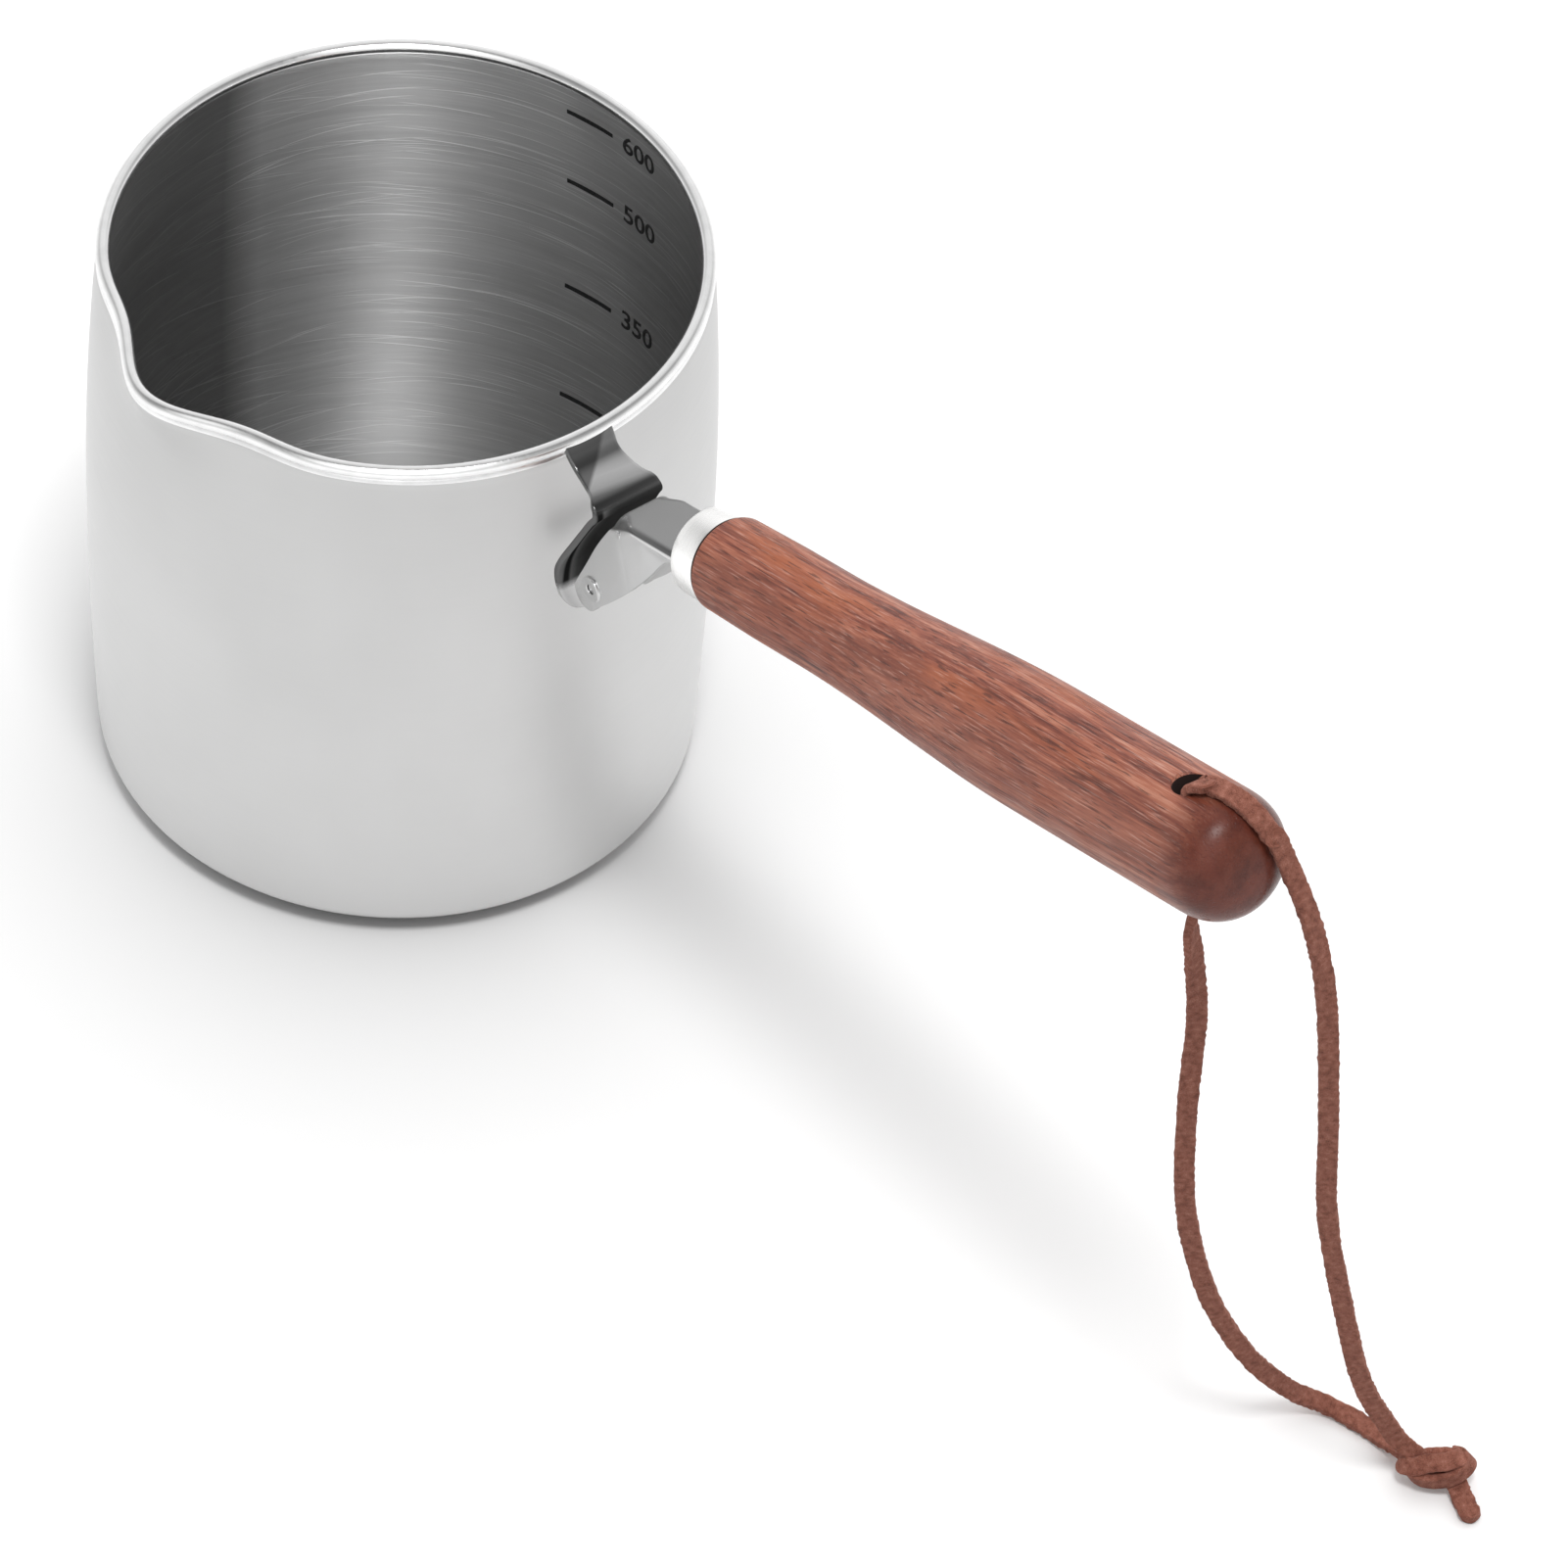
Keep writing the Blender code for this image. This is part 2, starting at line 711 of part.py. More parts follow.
def rear_points():
    """From the underside of the cross hole down to the ground and along it to the knot."""
    start = from_handle(LACE_HOLE, -GRIP_BELLY_RADIUS - 1.8 * MM)
    hanging = [
        (179.2, 1.4, 114.0),
        (178.7, 2.7, 98.0),
        (178.6, 3.1, 78.0),
        (179.1, 5.4, 56.0),
        (180.2, 10.5, 34.8),
        (182.0, 18.0, 17.5),
        (184.0, 25.5, 5.4),
        (187.6, 29.8, 1.5),
        (193.5, 32.0, 1.3),
        (198.4, 33.4, 1.5),
    ]
    return [start, *(Vector(place) * MM for place in hanging)]


def make_knot(where, leather, parent, cutters):
    """Overhand knot as one lump with the cut end of the lace standing out of it."""
    cage = bmesh.new()
    bmesh.ops.create_uvsphere(cage, u_segments=20, v_segments=12, radius=0.5)
    bmesh.ops.scale(cage, vec=KNOT_SIZE, verts=cage.verts)
    bmesh.ops.rotate(cage, matrix=Matrix.Rotation(radians(15), 3, "Z"), verts=cage.verts)
    bmesh.ops.translate(cage, vec=KNOT_CENTRE, verts=cage.verts)
    mesh = bpy.data.meshes.new("lace_knot")
    cage.to_mesh(mesh)
    cage.free()
    knot = new_object("lace_knot", mesh, where, leather)
    knot.parent = parent
    knot.matrix_parent_inverse = parent.matrix_world.inverted()
    start = KNOT_CENTRE + Vector((2.6, -0.9, -1.2)) * MM
    end = start + Vector((1.0, -0.2, 0.0)).normalized() * TAIL_LENGTH
    tail = rod("lace_tail", LACE_WIDTH / 2, start, end, cutters, sides=12)
    boolean(knot, as_cutter(tail), "UNION")
    smooth(knot, 60)
    return knot


def build():
    clear_scene()
    parts = collection("coffee_pot")
    cutters = collection("cutters")
    pot_steel = material("pot_steel", (0.62, 0.62, 0.61), 1.0, 0.32)
    polished = material("polished_steel", (0.60, 0.60, 0.60), 1.0, 0.12)
    satin = material("satin_steel", (0.66, 0.65, 0.62), 1.0, 0.35)
    plain = material("plain_steel", (0.45, 0.45, 0.45), 1.0, 0.4)
    brass = material("brass", (0.72, 0.52, 0.24), 1.0, 0.35)
    wood = material("red_wood", (0.30, 0.085, 0.045), 0.0, 0.45)
    leather = material("brown_leather", (0.16, 0.06, 0.035), 0.0, 0.85)

    fold_axis = empty("fold_axis", parts, RIVET)
    line = empty("handle_line", parts, HANDLE_START - RIVET, fold_axis)
    line.rotation_euler = (0.0, -HANDLE_TILT, 0.0)
    hole_exit = from_handle(LACE_HOLE, -GRIP_BELLY_RADIUS)
    swing_axis = empty("lace_swing_axis", parts, hole_exit - RIVET, fold_axis)
    bpy.context.view_layer.update()

    make_pot(parts, pot_steel)
    make_bracket(parts, polished, cutters)
    make_rivet(parts, polished)
    make_tang(parts, polished, line, cutters)
    make_stop_pin(parts, plain, line)
    make_ferrule(parts, satin, line)
    make_stud(parts, plain, line)
    make_insert(parts, brass, line)
    make_grip(parts, wood, line, cutters)
    section = lace_section(cutters)
    make_lace("lace_saddle", saddle_points(), section, parts, leather, line, pi / 2)
    make_lace("lace_front_strand", front_points(), section, parts, leather, swing_axis)
    make_lace("lace_rear_strand", rear_points(), section, parts, leather, swing_axis)
    make_knot(parts, leather, swing_axis, cutters)


build()
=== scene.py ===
"""Looks of a small steel coffee pot with a folding wooden handle and a leather hanging lace.

Metres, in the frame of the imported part: Z up, the base's centre at the origin, the handle towards +X.
"""

from math import cos, exp, hypot, pi, radians, sin

import bmesh
import bpy
from mathutils import Matrix, Vector, noise


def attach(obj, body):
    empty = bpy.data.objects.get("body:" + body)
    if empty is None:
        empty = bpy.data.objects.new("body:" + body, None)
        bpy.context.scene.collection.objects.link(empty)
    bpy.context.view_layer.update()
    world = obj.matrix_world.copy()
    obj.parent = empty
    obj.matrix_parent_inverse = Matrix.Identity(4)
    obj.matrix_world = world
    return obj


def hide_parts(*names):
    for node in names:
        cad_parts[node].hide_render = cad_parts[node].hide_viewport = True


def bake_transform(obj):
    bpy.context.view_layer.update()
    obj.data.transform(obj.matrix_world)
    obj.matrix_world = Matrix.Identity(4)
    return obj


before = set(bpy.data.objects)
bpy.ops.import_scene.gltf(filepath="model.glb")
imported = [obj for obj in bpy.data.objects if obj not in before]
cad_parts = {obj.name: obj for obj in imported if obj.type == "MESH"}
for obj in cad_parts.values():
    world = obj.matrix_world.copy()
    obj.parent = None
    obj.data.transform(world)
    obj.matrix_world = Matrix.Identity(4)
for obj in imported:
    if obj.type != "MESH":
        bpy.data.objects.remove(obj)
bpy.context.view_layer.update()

MM = 0.001

# The pot's shape, the same as the solid's but with finer steps
POT_HEIGHT = 98.8 * MM
RIM_RADIUS = 45.0 * MM
BEAD_RADIUS = 1.1 * MM
WALL = 0.9 * MM
BULGE_RADIUS = 46.7 * MM
BULGE_HEIGHT = 52.0 * MM
LOWER_DROP = 1.4 * MM
UPPER_DROP = 2.0 * MM
CORNER_REACH = 10.5 * MM
CORNER_RISE = 5.0 * MM
LIP_ANGLE = radians(-87)
LIP_REACH = 3.6 * MM
LIP_HALF_ANGLE = radians(11)
LIP_DEPTH = 9.0 * MM

# The handle line, which starts at the front of the ferrule
HANDLE_START = Vector((73.3, 0.0, 99.1)) * MM
HANDLE_TILT = radians(18.9)
RIVET = Vector((53.6, 0.0, 77.2)) * MM
HANDLE = Matrix.Translation(HANDLE_START) @ Matrix.Rotation(-HANDLE_TILT, 4, "Y")

SHEET = 1.0 * MM
TANG_HALF_WIDTH = 5.2 * MM
TANG_TOP = 1.2 * MM
TANG_FRONT = -16.0 * MM
TANG_TAIL = 2.3 * MM
TANG_BEND = 1.1 * MM
TANG_FLARE = 1.9 * MM

FERRULE_RADIUS = 6.8 * MM
FERRULE_WALL = 0.8 * MM
FERRULE_END = 5.3 * MM
GAP = 0.3 * MM
GRIP_END = 122.7 * MM
GRIP_DOME = 8.6 * MM
GRIP_NECK_RADIUS = 7.1 * MM
GRIP_WAIST_RADIUS = 7.3 * MM
GRIP_BELLY_RADIUS = 9.2 * MM
TENON_FRONT = 2.8 * MM
TENON_RADIUS = 5.6 * MM
BORE_RADIUS = 2.4 * MM
BORE_END = 40.0 * MM
INSERT_RADIUS = 3.2 * MM
INSERT_START = 9.0 * MM
INSERT_END = 22.0 * MM
LACE_HOLE = 111.2 * MM
LACE_HOLE_RADIUS = 2.6 * MM

LACE_WIDTH = 2.8 * MM
LACE_THICK = 1.3 * MM
STRAP_LIFT = 0.35 * MM + LACE_THICK / 2

# Camera: where it stands, and its right and up directions
CAMERA_PLACE = Vector((0.7356, -0.5391, 0.9946))
CAMERA_RIGHT = Vector((0.60178, 0.79730, 0.04663))
CAMERA_UP = Vector((-0.61114, 0.42212, 0.66957))
CAMERA_BACK = Vector((0.51416, -0.43144, 0.74128))
CAMERA_LENS = 202.4

# Light
ROOM_NEAR = 0.25
ROOM_FAR = 1.55
FLOOR_GLEAM = 0.15
KEY_AZIMUTH = -28
KEY_ELEVATION = 73
KEY_DISTANCE = 2.2
KEY_TARGET = Vector((0.06, 0.0, 0.05))
KEY_SIZE = (0.45, 0.45)
KEY_POWER = 17.5


# ---- mesh helpers


def add_object(name, data):
    obj = bpy.data.objects.new(name, data)
    bpy.context.scene.collection.objects.link(obj)
    return obj


def add_mesh(name, verts, faces, materials, matrix=None, sharp=35):
    mesh = bpy.data.meshes.new(name)
    mesh.from_pydata(verts, [], faces)
    for finish in materials:
        mesh.materials.append(finish)
    obj = add_object(name, mesh)
    if matrix is not None:
        obj.matrix_world = matrix
    face_outwards(obj)
    shade(obj, sharp)
    return obj


def face_outwards(obj):
    cage = bmesh.new()
    cage.from_mesh(obj.data)
    bmesh.ops.recalc_face_normals(cage, faces=cage.faces)
    cage.to_mesh(obj.data)
    cage.free()


def shade(obj, sharp=35):
    obj.data.shade_smooth()
    obj.data.set_sharp_from_angle(angle=radians(sharp))


def settle(obj, body, node):
    """Puts a piece on its body, in the place of a CAD node."""
    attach(obj, body)
    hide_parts(node)


def freeze(obj):
    """Replaces an object's mesh with the one its modifiers make."""
    bpy.context.view_layer.update()
    graph = bpy.context.evaluated_depsgraph_get()
    mesh = bpy.data.meshes.new_from_object(obj.evaluated_get(graph))
    obj.modifiers.clear()
    obj.data = mesh
    return obj


def drop_slivers(obj):
    """Cuts many-sided faces into triangles and takes out the ones without area that a cut leaves."""
    cage = bmesh.new()
    cage.from_mesh(obj.data)
    bmesh.ops.triangulate(cage, faces=[f for f in cage.faces if len(f.verts) > 4])
    bmesh.ops.dissolve_degenerate(cage, dist=1e-6, edges=cage.edges)
    cage.to_mesh(obj.data)
    cage.free()


def soften(obj, width, segments=2, angle=40):
    """Rounds the edges a press or a file would have rounded."""
    edge = obj.modifiers.new("edges", "BEVEL")
    edge.width = width
    edge.segments = segments
    edge.limit_method = "ANGLE"
    edge.angle_limit = radians(angle)
    edge.harden_normals = False
    edge.material = 1 if len(obj.data.materials) > 1 else -1
    freeze(obj)
    shade(obj, 50)
    return obj


def arc(centre, radius, start, stop, steps):
    """Points on an arc, its angles in degrees."""
    turns = [radians(start + (stop - start) * i / steps) for i in range(steps + 1)]
    return [(centre[0] + radius * cos(t), centre[1] + radius * sin(t)) for t in turns]


def lathe(name, profile, steps, materials, matrix=None, zone=None, push=None, closed=False, sharp=35):
    """Turns a (radius, height) profile round Z. zone gives each profile step its material."""
    verts = []
    rings = []
    for radius, height in profile:
        if radius < 1e-9:
            rings.append([len(verts)])
            verts.append((0.0, 0.0, height))
            continue
        ring = []
        for i in range(steps):
            angle = 2 * pi * i / steps
            out = radius + (push(angle, height, radius) if push else 0.0)
            ring.append(len(verts))
            verts.append((out * cos(angle), out * sin(angle), height))
        rings.append(ring)
    faces = []
    zones = []
    count = len(rings) if closed else len(rings) - 1
    for k in range(count):
        low = rings[k]
        high = rings[(k + 1) % len(rings)]
        for i in range(steps):
            j = (i + 1) % steps
            if len(low) == 1:
                faces.append((low[0], high[i], high[j]))
            elif len(high) == 1:
                faces.append((low[i], low[j], high[0]))
            else:
                faces.append((low[i], low[j], high[j], high[i]))
            zones.append(zone(k) if zone else 0)
    obj = add_mesh(name, verts, faces, materials, matrix, sharp)
    obj.data.polygons.foreach_set("material_index", zones)
    return obj


def side_faces(rings):
    """Four-cornered faces between neighbouring rings of corners."""
    faces = []
    for low, high in zip(rings, rings[1:]):
        for i in range(len(low)):
            j = (i + 1) % len(low)
            faces.append((low[i], low[j], high[j], high[i]))
    return faces


def through(points, steps):
    """A smooth run of points through the given ones (Catmull-Rom)."""
    ends = [2 * points[0] - points[1], *points, 2 * points[-1] - points[-2]]
    run = []
    for i in range(1, len(ends) - 2):
        p0, p1, p2, p3 = ends[i - 1 : i + 3]
        for k in range(steps):
            t = k / steps
            run.append(
                0.5
                * (
                    2 * p1
                    + (p2 - p0) * t
                    + (2 * p0 - 5 * p1 + 4 * p2 - p3) * t * t
                    + (3 * p1 - p0 - 3 * p2 + p3) * t * t * t
                )
            )
    return [*run, points[-1]]


# ---- materials


def grey(level):
    return (level, level, level)


class Nodes:
    """Short-hands for building a node tree."""

    def __init__(self, tree):
        self.tree = tree

    def node(self, kind, inputs=None, **settings):
        made = self.tree.nodes.new("ShaderNode" + kind)
        for key, value in settings.items():
            setattr(made, key, value)
        for key, value in (inputs or {}).items():
            if isinstance(value, bpy.types.NodeSocket):
                self.tree.links.new(value, made.inputs[key])
            else:
                made.inputs[key].default_value = value
        return made

    def math(self, operation, a, b=0.0):
        return self.node("Math", {0: a, 1: b}, operation=operation).outputs[0]

    def add(self, a, b):
        return self.math("ADD", a, b)

    def less(self, a, b):
        return self.math("SUBTRACT", a, b)

    def times(self, a, b):
        return self.math("MULTIPLY", a, b)

    def remap(self, value, low, high, out_low=0.0, out_high=1.0):
        settings = {0: value, 1: low, 2: high, 3: out_low, 4: out_high}
        return self.node("MapRange", settings, clamp=True).outputs[0]


class Finish(Nodes):
    """A material with its principled shader."""

    def __init__(self, name):
        self.material = bpy.data.materials.new(name)
        self.material.use_nodes = True
        super().__init__(self.material.node_tree)
        self.shader = self.tree.nodes["Principled BSDF"]

    def place(self):
        """The X, Y and Z of a point in its object."""
        return self.node("SeparateXYZ", {0: self.coordinates((1, 1, 1))}).outputs

    def coordinates(self, scale, turn=(0.0, 0.0, 0.0), socket="Object"):
        source = self.node("TexCoord").outputs[socket]
        turned = self.node("Mapping", {"Vector": source, "Rotation": turn}).outputs[0]
        return self.node("VectorMath", {0: turned, 1: scale}, operation="MULTIPLY").outputs[0]

    def noise(self, vector, scale, detail, rough):
        settings = {"Vector": vector, "Scale": scale, "Detail": detail, "Roughness": rough}
        return self.node("TexNoise", settings).outputs["Fac"]

    def grain(self, scale, detail, rough, turn=(0.0, 0.0, 0.0)):
        """Noise with so many waves per metre along the object's X, Y and Z."""
        return self.noise(self.coordinates(scale, turn), 1.0, detail, rough)

    def ramp(self, value, stops):
        made = self.node("ValToRGB", {"Fac": value})
        elements = made.color_ramp.elements
        for place, _ in stops[2:]:
            elements.new(place)
        for element, (place, colour) in zip(elements, sorted(stops)):
            element.position = place
            element.color = (*colour, 1.0)
        return made.outputs["Color"]

    def grey_ramp(self, value, *stops):
        return self.ramp(value, [(place, grey(level)) for place, level in stops])

    def mix(self, factor, a, b, blend="MIX"):
        made = self.node("Mix", data_type="RGBA", blend_type=blend)
        for index, value in ((0, factor), (6, a), (7, b)):
            if isinstance(value, bpy.types.NodeSocket):
                self.tree.links.new(value, made.inputs[index])
            else:
                made.inputs[index].default_value = value if index == 0 else (*value, 1.0)
        return made.outputs[2]

    def bump(self, height, strength, distance, normal=None):
        inputs = {"Height": height, "Strength": strength, "Distance": distance}
        if normal is not None:
            inputs["Normal"] = normal
        return self.node("Bump", inputs).outputs[0]

    def set(self, **inputs):
        for name, value in inputs.items():
            socket = self.shader.inputs[name.replace("_", " ")]
            if isinstance(value, bpy.types.NodeSocket):
                self.tree.links.new(value, socket)
            elif socket.type == "RGBA":
                socket.default_value = (*value, 1.0)
            else:
                socket.default_value = value
        return self.material


def outer_steel():
    """Fine satin steel, faintly brushed round the pot. Painted light: paler low down and darker near the top;
    painted dark grey to light bounced off dull surfaces, a painted contact shadow on the floor.
    """
    finish = Finish("pot_outer_steel")
    brush = finish.grain((60, 60, 9000), 3.0, 0.6)
    cloud = finish.grain((40, 40, 30), 2.0, 0.5)
    tone = finish.remap(cloud, 0.3, 0.7, 0.0, 1.0)
    colour = finish.mix(tone, (0.600, 0.600, 0.598), (0.630, 0.630, 0.628))
    height = finish.place()[2]
    # Painted light: the colour is paler low on the wall and darker near the top
    level = finish.remap(height, 10.0 * MM, 92.0 * MM, 1.13, 0.88)
    colour = finish.mix(1.0, colour, level, "MULTIPLY")
    # Painted contact shadow: to light bounced off the floor and other dull surfaces the pot is dark grey
    contact_shadow_ray = finish.node("LightPath").outputs["Is Diffuse Ray"]
    colour = finish.mix(contact_shadow_ray, colour, grey(0.12))
    rough = finish.remap(brush, 0.3, 0.7, 0.34, 0.42)
    return finish.set(
        Base_Color=colour,
        Metallic=1.0,
        Roughness=rough,
        Normal=finish.bump(brush, 0.05, 0.00002),
    )


def inner_painted_reflection(finish):
    """Painted reflection on the brushed wall: full brightness in a band opposite the lip, painted shade
    towards both sides, and the pot's floor painted dimmer.
    """
    x, y, z = finish.place()
    middle = radians(144)
    ahead = finish.add(finish.times(x, cos(middle)), finish.times(y, sin(middle)))
    aside = finish.less(finish.times(y, cos(middle)), finish.times(x, sin(middle)))
    turn = finish.math("ARCTAN2", aside, ahead)
    left = finish.remap(turn, radians(29), radians(37), 1.0, 0.47)
    right = finish.remap(turn, radians(-72), radians(-44), 0.46, 1.03)
    wall = finish.math("MINIMUM", left, right)
    on_floor = finish.remap(z, 5.0 * MM, 1.5 * MM)
    bottom = finish.times(on_floor, 0.70)
    side = finish.times(finish.less(1.0, on_floor), wall)
    return finish.add(bottom, side)


def inner_steel():
    """The inside of the pot: brushed round, with long fine scratches at slight angles."""
    finish = Finish("pot_inner_steel")
    brush = finish.grain((30, 30, 5200), 4.0, 0.65)
    broad = finish.grain((12, 12, 900), 3.0, 0.6)
    scratches = None
    for tilt, pitch in ((0.10, 3400), (-0.07, 3000), (0.22, 2600), (-0.18, 2800)):
        grain = finish.grain((34, 34, pitch), 2.0, 0.5, (tilt, tilt * 0.6, 0.0))
        line = finish.remap(grain, 0.66, 0.70)
        scratches = line if scratches is None else finish.math("MAXIMUM", scratches, line)
    tone = finish.remap(broad, 0.3, 0.7)
    colour = finish.mix(tone, grey(0.645), grey(0.735))
    colour = finish.mix(scratches, colour, grey(0.98))
    # Painted light: a bright reflection band, painted shade to its sides and on the pot's floor
    colour = finish.mix(1.0, colour, inner_painted_reflection(finish), "MULTIPLY")
    height = finish.add(brush, finish.times(scratches, 0.8))
    return finish.set(
        Base_Color=colour,
        Metallic=1.0,
        Roughness=finish.remap(brush, 0.3, 0.7, 0.36, 0.46),
        Anisotropic=0.85,
        Anisotropic_Rotation=0.25,
        Tangent=finish.node("Tangent", direction_type="RADIAL", axis="Z").outputs[0],
        Normal=finish.bump(height, 0.25, 0.00003),
    )


def sheet_steel(name, dark, light, rough, metres_per_line=0.00025):
    """Polished sheet with a fine directional grain."""
    finish = Finish(name)
    pitch = 1.0 / metres_per_line
    grain = finish.grain((pitch * 0.05, pitch, pitch * 0.05), 3.0, 0.6)
    patch = finish.grain((300, 300, 300), 2.0, 0.5)
    colour = finish.mix(finish.remap(patch, 0.3, 0.7), dark, light)
    return finish.set(
        Base_Color=colour,
        Metallic=1.0,
        Roughness=finish.remap(grain, 0.3, 0.7, rough - 0.05, rough + 0.06),
        Normal=finish.bump(grain, 0.06, 0.00002),
    )


def bracket_finish():
    """Polished strip with painted light: the web painted lighter in its middle and darker towards the bend, a
    painted dark corner at the crease, and a dull leg painted dark as shade with a near-black stripe; polished
    again at its foot.
    """
    finish = Finish("bracket_sheet")
    x, y, z = finish.place()
    slant = finish.add(x, finish.times(y, -0.12))
    # Painted light on the web: lighter in its middle, darker towards the bend
    web = finish.grey_ramp(
        finish.remap(slant, 44.0 * MM, 54.5 * MM),
        (0.00, 0.20),
        (0.16, 0.30),
        (0.55, 0.52),
        (0.74, 0.40),
        (0.86, 0.16),
        (1.00, 0.10),
    )
    # Painted shade: a dark corner at the crease
    crease = finish.add(finish.times(y, -1.0), finish.times(x, -1.15))
    corner = finish.remap(crease, -54.5 * MM, -53.7 * MM)
    web = finish.mix(finish.times(corner, 0.8), web, grey(0.09))
    # Painted shade and dark reflection down the leg, with a near-black stripe
    leg = finish.grey_ramp(
        finish.remap(y, -7.0 * MM, -2.0 * MM),
        (0.00, 0.24),
        (0.22, 0.17),
        (0.31, 0.015),
        (0.44, 0.015),
        (0.54, 0.13),
        (0.75, 0.06),
        (1.00, 0.04),
    )
    foot = finish.remap(z, 73.5 * MM, 71.5 * MM)
    leg = finish.mix(foot, leg, grey(0.50))
    below_bend = finish.remap(z, 93.9 * MM, 93.3 * MM)
    colour = finish.mix(below_bend, web, leg)
    shine = finish.less(1.0, finish.times(below_bend, finish.less(1.0, foot)))
    return finish.set(Base_Color=colour, Metallic=shine, Specular_IOR_Level=0.0, Roughness=0.14)


def tang_finish():
    """Polished channel with painted light by facing: its flat top painted mid grey, its folds painted dark,
    its side plates painted bright.
    """
    finish = Finish("tang_sheet")
    normal = finish.node("TexCoord").outputs["Normal"]
    painted_light_facing = finish.math("ABSOLUTE", finish.node("SeparateXYZ", {0: normal}).outputs[2])
    # Painted light: the grey follows how far each face turns up
    colour = finish.grey_ramp(
        painted_light_facing,
        (0.00, 0.66),
        (0.30, 0.62),
        (0.48, 0.12),
        (0.80, 0.16),
        (0.93, 0.26),
        (1.00, 0.275),
    )
    patch = finish.grain((240, 240, 240), 2.0, 0.5)
    return finish.set(
        Base_Color=colour,
        Metallic=1.0,
        Roughness=finish.remap(patch, 0.3, 0.7, 0.20, 0.26),
    )


def dark_edge(name):
    """Polished cut edges, painted dark as shade, since they catch no light."""
    return Finish(name).set(Base_Color=grey(0.10), Metallic=1.0, Roughness=0.3)


def printed_mark():
    finish = Finish("volume_mark_dark")
    wear = finish.grain((2500, 2500, 2500), 3.0, 0.6)
    colour = finish.mix(finish.remap(wear, 0.35, 0.7), grey(0.010), grey(0.035))
    return finish.set(Base_Color=colour, Roughness=0.6, Specular_IOR_Level=0.3)


def grip_wood():
    """Oiled reddish brown hardwood: growth bands, streaks, long pores, and a darker polished end."""
    finish = Finish("grip_wood")
    warp = finish.grain((9, 70, 70), 3.0, 0.5)
    x, y, z = finish.node("SeparateXYZ", {0: finish.coordinates((1000, 1000, 1000))}).outputs
    across = finish.add(y, 16.0)
    down = finish.add(z, -9.0)
    far = finish.math("SQRT", finish.add(finish.times(across, across), finish.times(down, down)))
    rings = finish.add(far, finish.times(warp, 9.0))
    rings = finish.add(rings, finish.times(x, 0.045))
    ring_noise = finish.node(
        "TexNoise", {"W": rings, "Scale": 0.62, "Detail": 3.0, "Roughness": 0.62}, noise_dimensions="1D"
    ).outputs["Fac"]
    streak = finish.grain((55, 900, 900), 4.0, 0.62)
    fibre = finish.grain((160, 4200, 4200), 3.0, 0.6)
    fine = finish.grain((80, 2300, 2300), 4.0, 0.70)
    blend = finish.times(ring_noise, 0.24)
    blend = finish.add(blend, finish.times(streak, 0.28))
    blend = finish.add(blend, finish.times(fine, 0.48))
    colour = finish.ramp(
        blend,
        [
            (0.38, (0.095, 0.022, 0.014)),
            (0.45, (0.195, 0.047, 0.026)),
            (0.51, (0.300, 0.085, 0.047)),
            (0.57, (0.385, 0.130, 0.074)),
            (0.65, (0.500, 0.225, 0.150)),
        ],
    )
    side = finish.add(finish.times(y, 0.78), finish.times(z, 0.63))
    warm = finish.remap(finish.grain((26, 150, 150), 2.0, 0.5), 0.47, 0.60, 0.0, 0.7)
    warm = finish.times(warm, finish.remap(side, -3.0, 3.0, 0.1, 1.0))
    colour = finish.mix(warm, colour, (0.37, 0.095, 0.030))
    pale = finish.grain((24, 130, 130), 2.0, 0.5, (0.3, 0.0, 0.0))
    pale = finish.times(finish.remap(pale, 0.46, 0.62, 0.0, 0.35), finish.remap(side, 2.0, -4.0))
    colour = finish.mix(pale, colour, (0.36, 0.155, 0.112))
    shade = finish.grain((34, 230, 230), 3.0, 0.6)
    colour = finish.mix(finish.remap(shade, 0.52, 0.66, 0.0, 0.6), colour, (0.16, 0.042, 0.027))
    colour = finish.mix(finish.remap(fibre, 0.56, 0.70, 0.0, 0.55), colour, (0.58, 0.33, 0.26))
    pores = finish.grain((210, 3100, 3100), 1.5, 0.5)
    pore = finish.remap(pores, 0.60, 0.68)
    colour = finish.mix(finish.times(pore, 0.65), colour, (0.070, 0.018, 0.012))
    end = finish.remap(x, 112.0, 119.0)
    end_colour = finish.ramp(
        finish.grain((40, 260, 260), 3.0, 0.6),
        [(0.35, (0.072, 0.016, 0.011)), (0.60, (0.130, 0.032, 0.021))],
    )
    colour = finish.mix(finish.times(end, 0.9), colour, end_colour)
    rough_patch = finish.grain((220, 220, 220), 3.0, 0.6)
    rough = finish.remap(rough_patch, 0.3, 0.7, 0.42, 0.58)
    rough = finish.less(rough, finish.times(end, 0.20))
    height = finish.less(finish.times(fibre, 0.5), finish.times(pore, 0.9))
    height = finish.times(height, finish.less(1.0, finish.times(end, 0.75)))
    return finish.set(
        Base_Color=colour,
        Roughness=rough,
        Specular_IOR_Level=finish.remap(end, 0.0, 1.0, 0.4, 0.2),
        Coat_Weight=finish.remap(end, 0.0, 1.0, 0.03, 0.12),
        Coat_Roughness=0.28,
        Normal=finish.bump(height, 0.55, 0.00018),
    )


def hole_shade():
    """Painted shade: near-black dull brown wood colour for the inside of the cross hole, and for the dark
    joint between ferrule and grip.
    """
    return Finish("lace_hole_painted_shade").set(Base_Color=(0.022, 0.009, 0.007), Roughness=0.9)


